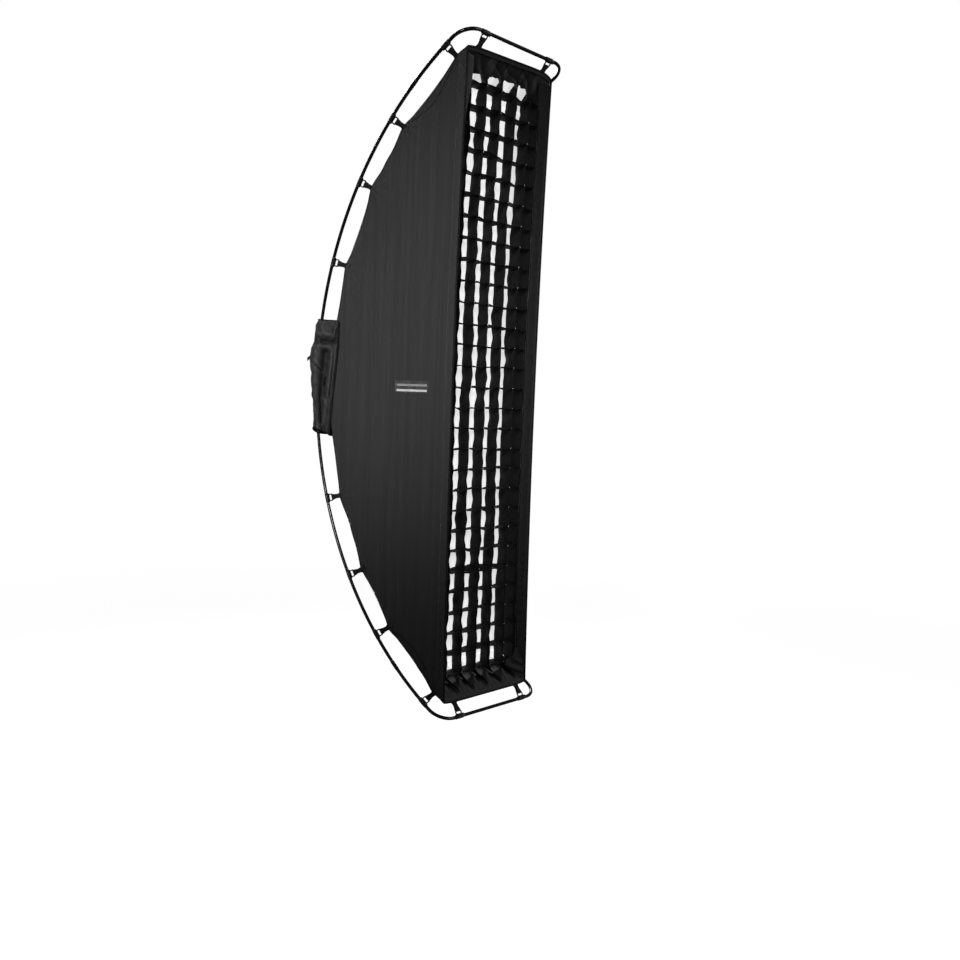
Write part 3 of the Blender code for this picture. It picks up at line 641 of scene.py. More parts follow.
def make_edge_seams(side, name):
    """The facing seams inside the rear edge near its corners, and the stitches along the edge."""
    def row(angles, inset):
        radius = BAG_RADIUS - sag(angles) - inset
        return side_surface(side, BOW_CENTRE + radius * cos(angles), radius * sin(angles), 0.0009)

    first, last = 48.5, 62.0
    seam = linspace(first, last, 60)
    inset = 0.005 + 0.022 * sin(pi * (seam - first) / (last - first))
    rows = [row(end * radians(seam), inset) for end, _ in ENDS] + [row(linspace(-1.08, 1.08, 400), 0.006)]
    tubes(f"facing_seam_{name}", rows[:2], 0.0007, "hem", 6)
    stitches(f"edge_stitches_{name}", rows)


def make_back_panel():
    """The long strip round the back, drawn in between the tabs, with a hemmed hole for the speedring."""
    angles = down(-BAG_ANGLE, BAG_ANGLE, 520)
    half = 0.17
    x = over(-half + 0.0002, half - 0.0002, 96)
    edge = (abs(x) / half) ** 2
    slack = 0.0016 * waves(51, x, angles, 0.12) + 0.0009 * waves(52, x, angles, 0.05, 0.0, 0.3)
    fade = ease(BAG_ANGLE - abs(angles), 0, 0.05) * ease(half - abs(x), 0, 0.02)
    radius = BAG_RADIUS - sag(angles) * (0.75 + 0.25 * edge) - 0.002 * (1 - edge) * fade + slack * fade
    points = bow_point(x, radius, angles)
    points[..., 2] += np.sign(angles) * end_rise(x, angles) * ease(abs(angles), RISE_ANGLE, BAG_ANGLE)
    hole = round_hole(points, HOLE_RADIUS, 0.0026)
    sheet("back_panel_cloth", points, "shell", inner="lining", hole=hole)
    turn = full_turn(96)
    rim_z = HOLE_RADIUS * sin(turn)
    rim_depth = BOW_CENTRE + sqrt((BAG_RADIUS - 0.001) ** 2 - rim_z ** 2)
    rim = points_at(HOLE_RADIUS * cos(turn), rim_depth, rim_z)
    binding("rear_hole_binding", rim, 0.0034, closed=True)
    for end, name in ENDS:
        x = linspace(-0.171, 0.171, 90)
        edge = points_at(x, 0.0004, end * (HALF_HEIGHT - 0.0005 + end_rise(x, end)))
        binding(f"front_binding_{name}", edge, 0.0026)
        angle = BAG_ANGLE - 0.028
        x = linspace(-0.160, 0.160, 90)
        seam = bow_point(x, BAG_RADIUS + 0.0012, end * angle)
        seam[:, 2] += end * end_rise(x, end) * ease(angle, RISE_ANGLE, BAG_ANGLE)
        stitches(f"front_hem_stitches_{name}", [seam])


# The frame, clips and tabs

SIDE_RUN = BOW_RADIUS * BAR_ANGLE - CORNER_RADIUS
CORNER_RUN = CORNER_RADIUS * pi / 2
HALF_LOOP = SIDE_RUN + CORNER_RUN + POLE_X - CORNER_RADIUS
POLE_JOINT = BOW_RADIUS * radians(55)


def loop_spot(distance):
    """X and bow angle at a distance along the frame, from the left hub over the bar to the right hub."""
    run = min(distance, 2 * HALF_LOOP - distance)
    if run < SIDE_RUN:
        x, up = -POLE_X, run
    elif run < SIDE_RUN + CORNER_RUN:
        turn = (run - SIDE_RUN) / CORNER_RADIUS
        x = -POLE_X + CORNER_RADIUS * (1 - cos(turn))
        up = SIDE_RUN + CORNER_RADIUS * sin(turn)
    else:
        x, up = run - HALF_LOOP, SIDE_RUN + CORNER_RADIUS
    return (-x if distance > HALF_LOOP else x), up / BOW_RADIUS


def frame_path(start, end, side, up, spacing=0.006):
    count = int((end - start) / spacing) + 2
    spots = [loop_spot(distance) for distance in linspace(start, end, count)]
    return array([bow_point(side * x, BOW_RADIUS, up * angle) for x, angle in spots])


def pole_piece(name, path, radius=POLE_RADIUS):
    tubes(name, [path], radius, "coating", 24, slot="pole_coating")


def make_poles():
    gap = 0.0002
    for up, end in ENDS:
        for side, name in SIDES:
            pole_piece(f"pole_{end}_{name}_tube", frame_path(0.008, POLE_JOINT - gap, -side, up))
            ferrule = frame_path(POLE_JOINT - 0.030, POLE_JOINT + 0.004, -side, up, 0.002)
            swell = 0.0007 * minimum(1, 4 * sin(linspace(0.02, pi - 0.02, len(ferrule))))
            pole_piece(f"ferrule_{end}_{name}", ferrule, POLE_RADIUS + swell)
        path = frame_path(POLE_JOINT + gap, 2 * HALF_LOOP - POLE_JOINT - gap, 1, up, 0.004)
        pole_piece(f"end_tube_{end}_bar", path)


def anchors():
    """What each clip needs: its name, its hold on the frame, the cloth point it pulls, its direction along
    the frame, the cloth's outward direction and the way in over the cloth."""
    for side, name in SIDES:
        for number, angle in enumerate(sorted(TAB_ANGLES, reverse=True), 1):
            hold = bow_point(side * POLE_X, BOW_RADIUS, angle)
            target = bow_point(side * PANEL_X, BAG_RADIUS - 0.002, angle)
            along = array((0, -sin(angle), cos(angle)))
            inward = array((0, -cos(angle), -sin(angle)))
            yield f"clip_{name}_{number}", hold, target, along, array((side, 0.0, 0.0)), inward
        for end, end_name in ((1, "top"), (-1, "bottom")):
            x, angle = side * CLIP_BAR_X, end * (BAG_ANGLE - 0.003)
            hold = bow_point(x, BOW_RADIUS, end * BAR_ANGLE)
            target = bow_point(x, BAG_RADIUS, angle)
            target[2] += end * end_rise(x, end)
            outward = array((0, cos(angle), sin(angle)))
            inward = end * array((0, sin(angle), -cos(angle)))
            yield f"clip_{end_name}_{name}", hold, target, array((1.0, 0.0, 0.0)), outward, inward


# Distance from a clip's middle, in millimetres, and how far its wall swells there.
CLIP_RINGS = ((14.5, 0.35), (14.0, 0.8), (12.8, 1.0), (8.5, 1.0), (8.0, 0.78), (4.5, 0.78), (4.0, 1.15))


def clip_shape():
    """Vertices and faces of a snap-on clip: local X towards the cloth, local Y along the pole."""
    vertices, faces = [], []

    def add(points, new_faces):
        faces.extend([[i + len(vertices) for i in face] for face in new_faces])
        vertices.extend(points)

    def arc(radius, start, end, count):
        return [(radius * cos(a), radius * sin(a)) for a in linspace(start, end, count)]

    wrap, lip = radians(132), 0.2
    inner, outer = 0.0052, 0.0078
    middle = (inner + outer) / 2
    section = arc(outer, -wrap, wrap, 28) + arc(middle, wrap + lip, 0, 1)
    section += arc(inner, wrap, -wrap, 28) + arc(middle, -wrap - lip, 0, 1)
    profile = [(-length, swell) for length, swell in CLIP_RINGS] + list(CLIP_RINGS[::-1])
    rings = []
    for length, swell in profile:
        for u, v in section:
            radius = hypot(u, v)
            share = (middle + (radius - middle) * (swell if radius > middle else min(swell, 1.0))) / radius
            rings.append((u * share, length * MM, v * share))
    count = len(section)
    ends = [list(range(count)), list(range(len(rings) - 1, len(rings) - 1 - count, -1))]
    add(rings, [list(face) for face in quads(len(profile), count, wrap=True)] + ends)
    corners = array([(0.0068, -0.0095), (CLIP_REACH, -0.0106), (CLIP_REACH, 0.0106), (0.0068, 0.0095)])
    loop = []
    for i, corner in enumerate(corners):
        start = corner + 0.0032 * unit(corners[i - 1] - corner)
        stop = corner + 0.0032 * unit(corners[(i + 1) % 4] - corner)
        for t in linspace(0, 1, 6):
            loop.append((1 - t) ** 2 * start + 2 * t * (1 - t) * corner + t ** 2 * stop)
    path = resample([(u, v, 0.0) for u, v in loop + loop[:1]], 0.0015)[:-1]
    neck = [(0.0055, v, 0.0) for v in linspace(-0.009, 0.009, 12)]
    add(*tube_mesh(path, 0.0020, 10, closed=True)[:2])
    add(*tube_mesh(neck, 0.0024, 8)[:2])
    return array(vertices), faces


def make_clips_and_tabs():
    vertices, faces = clip_shape()
    for name, hold, target, along, outward, inward in anchors():
        reach = unit(target - hold)
        third = cross(reach, along)
        matrix = stack([reach, along, third], axis=1)
        shape = vertices @ matrix.T + hold
        piece = make_piece(f"{name}_body", shape, faces, "plastic", slot="clip_plastic")
        piece.data.set_sharp_from_angle(angle=radians(40))
        normal = third if third.dot(outward) >= 0 else -third
        make_tab(name.replace("clip", "tab"), hold, target, along, outward, inward, reach, normal)


def make_tab(name, hold, target, along, outward, inward, reach, normal):
    """A folded webbing tab: sewn to the cloth inside and out, and passed round the clip's far bar."""
    def spot(u, v, w):
        return target + u * inward + v * along + w * outward

    bar = hold + CLIP_REACH * reach
    wrap, lift = 0.0026, 0.0021
    path = [spot(0.017, 0, lift), spot(0.002, 0, lift)]
    for turn in linspace(-0.15, pi + 0.15, 9):
        path.append(bar + wrap * (cos(turn) * normal - sin(turn) * reach))
    path = rounded(path + [spot(0.002, 0, -lift), spot(0.017, 0, -lift)], 2)
    way = (path - target) @ reach / norm(target - bar)
    waist = 1 - 0.3 * bell(way, -0.45, 0.3) + 0.25 * ease(way, -0.3, 0.1)
    width = over(-0.009, 0.009, 7)[..., None] * waist[:, None, None]
    sheet(f"{name}_webbing", path[:, None] + width * along, "webbing", slot="webbing", thickness=0.0011)
    near, far, half = 0.003, 0.0155, 0.0072
    box = [(near, -half), (near, half), (far, half), (far, -half), (near, -half), (far, half)]
    rows = [array([spot(u, v, 0.0029) for u, v in row]) for row in (box, [(near, half), (far, -half)])]
    stitches(f"{name}_box_stitch", rows, slot="webbing", pitch=0.0027, length=0.002, radius=0.0003)


# Light-shaping pieces

GRID_CELL = 0.0594
GRID_LIFT = -0.0022
GRID_HALF = 0.1640
ROW_PITCH = 0.05985
GRID_FRONT, GRID_REAR = 0.040, 0.082
GRID_TOP, ROOF_START = 0.872, 0.8
GRID_FOOT, TUCK_START = 0.886, 0.842
STRIP_INSET = 0.006
FACING_HALF = 0.167
FLANGE_X = 0.1690
# X and height of the gathered facing's lower edge, in millimetres.
UPPER_FACING_EDGE = ((-167, -78, -73, -49, -44, -4, 0, 13, 18, 60, 64, 75, 80, 108, 118, 167),
                     (861, 862, 842, 842, 867, 871, 855, 855, 872, 873, 860, 860, 873, 870, 838, 832))


def bow_angle(depth):
    """The angle at which the bag's rear is at a depth."""
    return arccos(minimum((depth - BOW_CENTRE) / BAG_RADIUS, 1))


def roof_rise(x, depth, end):
    """How far the bowed end edge lifts the cloth behind it."""
    return end_rise(x, end) * ease(bow_angle(depth), RISE_ANGLE, BAG_ANGLE)


def inside_height(depth):
    """The height of the inside of the back panel's cloth at a depth."""
    return sqrt((BAG_RADIUS - 0.003 - sag(bow_angle(depth))) ** 2 - (depth - BOW_CENTRE) ** 2)


def make_lip():
    """The dark facing inside the front edge, with its gathered top and its pleated bottom."""
    z = down(-0.885, 0.885, 300)
    for side, name in SIDES:
        depth = front_depth(z) + over(0.001, 0.037, 8)
        points = side_surface(side, depth, z, -0.0030 - 0.0004 * waves(61 + side, depth, z, 0.07))
        strip = sheet(f"front_facing_{name}", points, "lip")
        if side < 0:
            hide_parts("front_lip")
        binding(f"front_facing_binding_{name}", points[:, -1] - (side * 0.001, 0, 0), 0.0016, 8)
        make_corner_flange(side, name)
    make_lower_gather()
    x = over(-FACING_HALF, FACING_HALF, 260)
    run = down(0, 1, 40)
    make_upper_facing(x, run)
    make_lower_facing(x, run)
    drop = down(0, 1, 10)
    for end, name in ENDS:
        height = END_EDGE + end_rise(x, end) - 0.010 * drop - 0.0008 * sin(x * 60)
        band = points_at(x, 0.0012 + 0.002 * drop, end * height)
        # The lower band gets the lighter lit copy of the lip cloth: painted light.
        sheet(f"front_hem_band_{name}", band, "lip" if end > 0 else "lip_lit", thickness=0.001)


def make_upper_facing(x, run):
    """Spare cloth gathered into a swag of soft folds."""
    top = END_EDGE + end_rise(x, 1)
    folds = x / 0.058 - 1.25 * run ** 1.4 + 0.14 * sin(x * 60) + 0.12 * sin(x * 23 + 4 * run)
    swag = sin(2 * pi * folds)
    edge = np.interp(x / MM, *UPPER_FACING_EDGE) * MM
    fall = run ** 0.9 * (top - edge) + 0.0050 * swag * sin(pi * minimum(run * 1.1, 1))
    depth = 0.003 + 0.047 * run + 0.006 * swag * run
    height = minimum(top - 0.001 - fall, inside_height(depth) + roof_rise(x, depth, 1) - 0.001)
    # Painted shade where the swag's folds lie back and painted highlight where they stand forward.
    shade = 0.9 + ease(run, 0.02, 0.2) * (1.3 * maximum(-swag, 0) ** 2 - 0.78 * ease(swag, -0.3, 0.5))
    sheet("front_facing_upper", points_at(x, depth, height), "swag", shade=shade)


def make_lower_facing(x, run):
    """One pleat in front of each of the grid's cells."""
    phase = (x - 0.020 + 0.004 * sin(x * 40)) / GRID_CELL
    middle = 1 - abs(2 * (phase - np.floor(phase)) - 1)
    rise = 0.001 + run * (0.026 + 0.013 * middle ** 0.8) + 0.0016 * waves(66, x, run * 0.05, 0.03) * run
    rise -= 0.006 * run * bell(middle, 0.72, 0.10) + end_rise(x, -1) * (1 - run)
    depth = 0.003 + 0.040 * run + 0.008 * middle * run
    # Painted shadow in the V-shaped hollows between the pleats, widening towards the back, and a faint
    # painted highlight on their peaks.
    hollow = 1.02 * ease(run, 0.18, 1.0)
    shade = 0.08 + 1.12 * ease(middle, hollow - 0.10, hollow + 0.04)
    sheet("front_facing_lower", points_at(x, depth, rise - END_EDGE), "pleats", shade=shade)


def make_corner_flange(side, name):
    """The front edge's facing, turned in across the upper corner."""
    z = down(0.66, 0.886, 60)
    turn_in = ease(z, 0.66, 0.87)
    share = over(0, 1, 10)
    x = side * (FLANGE_X - share * (0.002 + 0.034 * turn_in))
    depth = front_depth(z) + 0.001 + share * (0.004 + 0.010 * turn_in) + 0.0015 * sin(pi * share) * turn_in
    # The left flange gets the lighter lit copy of the lip cloth and the right one the darker hem cloth:
    # painted light and painted shade.
    material = "lip_lit" if side < 0 else "hem"
    sheet(f"corner_flange_{name}", points_at(x, depth, z), material, thickness=0.001)


def make_lower_gather():
    """The facing's spare cloth, gathered into the lower right corner."""
    z = down(-0.887, -0.800, 70)
    turn_in = ease(-z, 0.800, 0.868)
    share = over(0, 1, 40)
    folds = sin(2 * pi * (3.2 * ease(-z, 0.79, 0.90) + 0.9 * share))
    x = FLANGE_X - share * (0.002 + 0.050 * turn_in)
    depth = front_depth(z) + 0.002 + share * (0.030 + 0.018 * turn_in)
    depth += 0.006 * folds * sin(pi * share * 0.8)
    # Painted shade in the gather's hollows and painted highlight on its folds.
    shade = 0.25 + 1.1 * ease(folds, -0.4, 0.7)
    sheet("corner_gather_right", points_at(x, depth, z), "pleats", thickness=0.001, shade=shade)


def column_x(x, z, share):
    """Where a column of the grid is pulled and drifts to."""
    seed = int(1000 + 100 * (x + 1) * 10)
    pull = sin(pi * (z - GRID_LIFT) / ROW_PITCH) ** 2
    drift = 0.011 * ease(z, 0.35, 0.85) - 0.006 * ease(-z, 0.45, 0.85)
    drift += 0.026 * ease(-z, TUCK_START, GRID_FOOT)
    slow = 0.0018 * waves(seed + 9, z, share * 0.04, 0.4)
    return x + drift + slow + pull * (0.0036 * waves(seed, z, share * 0.09, 0.10) + 0.0012 * (share - 0.5))


def row_z(z, x, share):
    """Where a row of the grid sags to."""
    seed = int(5000 + 1000 * (z + 1))
    pull = sin(pi * x / GRID_CELL) ** 2
    slow = 0.0022 * waves(seed + 5, x, share * 0.05, 0.22)
    return z - pull * (0.0022 + 0.0032 * waves(seed, x, share * 0.06, 0.09)) + slow


def make_grid():
    """Wavy cloth strips, crossing at every cell, with a bar tack at each crossing."""
    top = inside_height(GRID_FRONT) - STRIP_INSET
    columns = [GRID_CELL * (i - 2) for i in range(5)]
    rows = [ROW_PITCH * (i - 14) + GRID_LIFT for i in range(29)]
    deep = GRID_REAR - GRID_FRONT
    strips = []
    across = over(0, 1, 6)
    draw = np.random.default_rng(7)

    z = down(-GRID_FOOT, GRID_TOP, 400)
    taper = clip((-z - TUCK_START) / (GRID_FOOT - TUCK_START), 0, 1)
    for x in columns:
        wobble = 0.0008 * sin(z * 60 + x * 50)
        depth = front_depth(z) + GRID_FRONT - 0.030 * taper + deep * across * (1 - 0.95 * taper) + wobble
        limit = inside_height(depth) + roof_rise(x, depth, 1) - STRIP_INSET
        squeeze = (limit - ROOF_START) / (GRID_TOP - ROOF_START)
        roof = where(z > ROOF_START, ROOF_START + (z - ROOF_START) * squeeze, z)
        strips.append(points_at(column_x(x, z, across), depth, roof))
    z = down(-0.85, 0.85, 260)
    for side, _ in SIDES:
        depth = front_depth(z) + GRID_FRONT + (0.012 + deep) * across
        limit = inside_height(depth) - 0.007
        strips.append(points_at(side * (GRID_HALF + 0.0004 * sin(z * 40)), depth, clip(z, -limit, limit)))
    x = down(-GRID_HALF, GRID_HALF, 90)
    for row in rows:
        bulge = sin(pi * (x + GRID_HALF) / (2 * GRID_HALF)) ** 2
        twist = 0.006 * draw.normal() * bulge if draw.random() < 0.3 else 0.0
        height = row_z(row, x, across) + twist * (across - 0.5) * 2
        strips.append(points_at(x, front_depth(row) + GRID_FRONT + deep * across, clip(height, -top, top)))

    starts = np.cumsum([0] + [strip[..., 0].size for strip in strips])
    faces = concatenate([quads(*strip.shape[:2], start=start) for strip, start in zip(strips, starts)])
    vertices = concatenate([strip.reshape(-1, 3) for strip in strips])
    uvs = concatenate([run_lengths(strip) for strip in strips])
    piece = make_piece("egg_crate_grid_cloth", vertices, faces, "grid", "grid", "grid_fabric", uvs)
    thicken(piece, 0.0012)

    tacks = []
    for row in rows:
        for x in columns:
            centre = points_at(column_x(x, row, 0.0), front_depth(row) + GRID_FRONT - 0.0006, row + 0.0005)
            tilt = 0.0016 * draw.normal()
            tacks.append([centre + (-0.0012, 0, -tilt), centre, centre + (0.0012, 0, tilt)])
    tubes("grid_bar_tacks", tacks, 0.0008, "pale_thread", 6, "grid", "grid_fabric")


def skirt_points(x, degrees, end):
    """The diffuser's skirt, which lies against the inside of the upper or lower end."""
    angle = radians(degrees)
    radius = BAG_RADIUS - 0.0065 - sag(angle) + 0.0006 * waves(78, x, angle, 0.04)
    points = bow_point(x, radius, end * angle)
    points[..., 2] += end * roof_rise(x, points[..., 1] - FRONT_Y, end)
    return points


DIFFUSER_HALF, DIFFUSER_TOP = 0.1665, 0.8225


def diffuser_surface(x, z, behind=0.0):
    """The diffuser's slightly slack cloth, or a surface a little behind it."""
    fade = ease(DIFFUSER_HALF - abs(x), 0, 0.02) * ease(DIFFUSER_TOP - abs(z), 0, 0.03)
    relief = 0.0013 * waves(71, x, z, 0.045, 0.0, 0.2) + 0.002 * waves(72, x, z, 0.3)
    draw = np.random.default_rng(73)
    for _ in range(26):
        place, middle, length = draw.uniform(-0.14, 0.14), draw.uniform(-0.8, 0.85), draw.uniform(0.04, 0.16)
        end = (place + draw.normal(0, 0.004), middle + length)
        relief -= crease(x, z, (place, middle - length), end, 0.0035, 0.004)
    return points_at(x, 0.1088 + front_depth(z) * 0.6 + relief * fade + behind, z)


def make_diffuser():
    def silk(name, points, material="diffuser", thickness=0.0008):
        sheet(name, points, material, "diffuser", "diffuser_fabric", thickness)

    x = over(-DIFFUSER_HALF, DIFFUSER_HALF, 110)
    z = down(-DIFFUSER_TOP, DIFFUSER_TOP, 420)
    silk("front_diffuser_cloth", diffuser_surface(x, z))
    run = down(0, 1, 20)
    start, seam, last = 57.45, 59.15, 61.8
    silk("diffuser_skirt_upper", skirt_points(x, start + (last - start) * run, 1))
    silk("diffuser_skirt_lower", skirt_points(x, start + (seam - start) * run, -1))
    # The rear part of the lower skirt is grey: painted shade.
    silk("diffuser_skirt_tape", skirt_points(x, seam + (last - seam) * run, -1), "skirt_tape", 0.0010)
    z = down(0.01 - DIFFUSER_TOP, DIFFUSER_TOP - 0.01, 420)
    for side, name in SIDES:
        tape_x = side * (DIFFUSER_HALF - over(0.030, 0.001, 24))
        silk(f"diffuser_loop_tape_{name}", diffuser_surface(tape_x, z, 0.0014), "loop_tape", 0.0012)


def make_baffle():
    half_x, half_z, depth, slot = 0.119, 0.449, 0.3008, "diffuser_fabric"
    x = over(-half_x, half_x, 60)
    z = down(-half_z, half_z, 180)
    relief = 0.003 * waves(75, x, z, 0.25) + 0.0012 * waves(76, x, z, 0.07, 0.6, 0.4)
    points = points_at(x, depth + relief * ease(half_x - abs(x), 0, 0.03), z)
    sheet("inner_baffle_cloth", points, "baffle", slot=slot, thickness=0.0008)
    corners = array([(-1, -1), (1, -1), (1, 1), (-1, 1), (-1, -1)]) * (half_x, half_z)
    outline = resample(corners, 0.01)[:-1]
    rim = points_at(outline[:, 0], depth, outline[:, 1])
    tubes("baffle_binding", [rim], 0.0022, "baffle", 8, slot=slot, closed=True)
    run = down(0, 1, 30)
    across = over(-0.0095, 0.0095, 7)
    for side, name in SIDES:
        for end, end_name in ENDS:
            strap_x = side * (0.112 + (PANEL_X - 0.113) * run)
            points = points_at(strap_x, depth + 0.0012 + 0.0025 * sin(pi * run), end * 0.4 + across)
            strap = f"baffle_strap_{end_name}_{name}_elastic"
            sheet(strap, points, "elastic", slot="webbing", thickness=0.0012)


# The rear cover

# X and depth across the flap, in millimetres.
FLAP_LOOSE = ((118.2, 648), (150, 647.8), (190, 643.5), (216, 627), (223.5, 602), (213.5, 575), (184, 556),
              (174.5, 550), (173.7, 540))
FLAP_TIGHT = ((118.2, 648), (150, 640), (180, 624), (203.5, 606.5), (213.5, 592), (209.5, 576.5), (186, 559),
              (174.5, 550), (173.7, 540))
FLAP_SHIFT = (0, 0, 0, 0, 0.1, 0.4, 0.8, 1, 1)
FLAP_RUN = 0.24
FLAP_TOP, FLAP_BOTTOM = 0.189, -0.168
POLE_GAP = 0.0082
FLAP_SEAM = 0.1735
COVER_HALF = 0.118
COLLAR_RADIUS = 0.0805
# Each crease's start and end along the flap and up it, its width and its height, in millimetres.
FLAP_CREASES = (
    (159, 85, 155, -135, 12, -14.5), (178, 80, 176, -50, 6, 4.5), (110, 112, 205, 126, 10, -12.5),
    (120, 140, 200, 146, 9, 4), (112, 52, 152, 22, 4, -5.5), (116, -76, 157, -126, 5, -6.5),
    (175, 125, 205, 165, 7, 5), (150, -90, 163, -150, 6, 4.5), (204, 170, 198, -150, 12, 3.5),
    (60, 150, 40, -60, 9, -5), (20, 80, 95, 10, 6, -3.5), (30, -90, 100, -150, 6, -4),
    (135, 100, 128, -20, 11, 4.5), (120, 175, 150, 140, 7, -3.5),
)


def crease(u, v, start, end, width, height):
    """A fold along a line, as high as height at the line and gone a few widths away."""
    run_u, run_v = end[0] - start[0], end[1] - start[1]
    share = clip(((u - start[0]) * run_u + (v - start[1]) * run_v) / (run_u ** 2 + run_v ** 2), 0, 1)
    distance = hypot(u - start[0] - share * run_u, v - start[1] - share * run_v)
    return height * exp(-((distance / width) ** 2))


def flap_spots(z, count):
    """X and depth across the flap at each height, between its tight shape and its loose one."""
    loose = np.interp(z, (-0.165, -0.10, -0.064, 0.016, 0.057, 0.095, 0.117, 0.174, FLAP_TOP),
                      (0.43, 0.37, 0.73, 1.0, 1.2, 1.07, 0.6, 0.37, 0.0))
    shift = np.interp(z, (-0.164, -0.074, 0.010, 0.109, FLAP_TOP), (0.035, 0.024, 0.012, 0.001, 0.0))
    tight, slack = array(FLAP_TIGHT)[:, None] * MM, array(FLAP_LOOSE)[:, None] * MM
    control = tight + (slack - tight) * loose[:, None]
    control[..., 1] += array(FLAP_SHIFT)[:, None] * shift
    fine = rounded(control)
    place = linspace(0, len(fine) - 1, count)
    low = clip(place.astype(int), 0, len(fine) - 2)
    part = (place - low)[:, None, None]
    return np.swapaxes(fine[low] * (1 - part) + fine[low + 1] * part, 0, 1)


def make_flap(side, name):
    """The rear cover's side, wrapped round the hub and the poles and lying on the side panel."""
    z = linspace(FLAP_BOTTOM, FLAP_TOP, 220)
    share = over(0, 1, 130)
    spots = flap_spots(z, 130)
    along = unit(np.gradient(spots, axis=1))
    outward = stack([-along[..., 1], along[..., 0]], axis=-1)
    run, height = np.broadcast_arrays(FLAP_RUN * share, z[:, None])
    relief = 0.0012 * waves(81 + side, run, height, 0.06, 1.1, 0.5)
    relief += 0.0007 * waves(83 + side, run, height, 0.028, 0.3, 0.7)
    for fold in MM * array(FLAP_CREASES):
        relief += crease(run, height, fold[:2], fold[2:4], *fold[4:])
    free = ease(share, 0.0, 0.10) * (1 - 0.8 * ease(share, 0.88, 0.97))
    spots += outward * (relief * free)[..., None]
    pole = stack([POLE_X + 0 * z, BOW_CENTRE + sqrt(BOW_RADIUS ** 2 - z ** 2)], axis=-1)[:, None]
    clear = np.sum((spots - pole) * outward, axis=-1)
    beside = abs(np.sum((spots - pole) * along, axis=-1))
    round_pole = sqrt(maximum(POLE_GAP ** 2 - beside ** 2, 0))
    least = where(beside < POLE_GAP, round_pole, 1.5 * (POLE_GAP - beside))
    spots += outward * (maximum(least - clear, 0) * (share < 0.75))[..., None]
    spots[..., 0] = where(share > 0.72, maximum(spots[..., 0], FLAP_SEAM), spots[..., 0])
    hem = 0.004 * waves(85 + side, run, 0 * run, 0.11)
    fall = (FLAP_TOP - height) / (FLAP_TOP - FLAP_BOTTOM)
    height = height + bell(share, 0.5, 0.2) * (0.006 + 0.018 * fall)
    height += hem * (ease(-height, 0.12, -FLAP_BOTTOM) + 0.5 * ease(height, 0.13, FLAP_TOP))
    points = points_at(side * spots[..., 0], spots[..., 1], height)
    # Painted shade in the creases' hollows and painted highlight on their ridges.
    shade = 1.02 - 0.72 * ease(-relief, 0.001, 0.009) + 0.22 * ease(relief, 0.002, 0.006)
    body, flap = f"flap_{name}", f"cover_flap_{name}"
    sheet(f"{flap}_cloth", facing(-side, points), "sleeve_folds", body, thickness=0.0016,
          shade=facing(-side, shade))
    hems = (("front", points[:, -1], 0.0036), ("lower", points[0], 0.0026), ("upper", points[-1], 0.0022))
    for edge, path, radius in hems:
        binding(f"{flap}_{edge}_hem", resample(path, 0.003), radius, 8, body)
    stitches(f"{flap}_stitches", [points[:, -6] + (side * 0.0011, 0, 0), points[3], points[-4]], body)


def make_rear_cover():
    for side, name in SIDES:
        make_flap(side, name)
    run = down(0, 1, 14)
    across = over(-0.005, 0.005, 5)
    tab = points_at(-0.2015 + 0.004 * run, 0.640 + 0.031 * run, 0.077 + across - 0.008 * run ** 2)
    sheet("cover_flap_left_pull_tab", tab, "webbing", "flap_left", "webbing", thickness=0.0016)
    x = over(-COVER_HALF, COVER_HALF, 100)
    z = down(-0.178, 0.184, 150)
    gather = sin(26 * arctan2(z, x)) * exp(-maximum(hypot(x, z) - HOLE_RADIUS, 0) / 0.025)
    slack = 0.0022 * waves(91, x, z, 0.09) + 0.001 * waves(92, x, z, 0.035)
    depth = 0.6475 + ease(COVER_HALF - abs(x), 0, 0.02) * slack + 0.0015 * gather
    points = points_at(x, depth, z)
    hole = round_hole(points, COLLAR_RADIUS, 0.0018)
    sheet("rear_cover_cloth", points, "sleeve", thickness=0.0016, hole=hole)
    turn = full_turn(220)[None, :]
    run = down(0, 1, 40)
    pleats = 0.0013 * sin(30 * turn + 1.5 * sin(2 * turn)) * (0.35 + run)
    radius = COLLAR_RADIUS + pleats - 0.0022 * bell(run, 0.75, 0.07) - 0.0015 * ease(run, 0.85, 1.0)
    collar = points_at(radius * cos(turn), 0.6465 + 0.0553 * run, radius * sin(turn))
    sheet("cover_collar_cloth", collar, "sleeve", wrap=True)
    binding("cover_collar_hem", collar[-1, ::2], 0.0016, 8, closed=True)
    stitches("rear_cover_stitches", [row + (0, 0.0012, 0) for row in (points[3], points[-4])])
    make_cord()


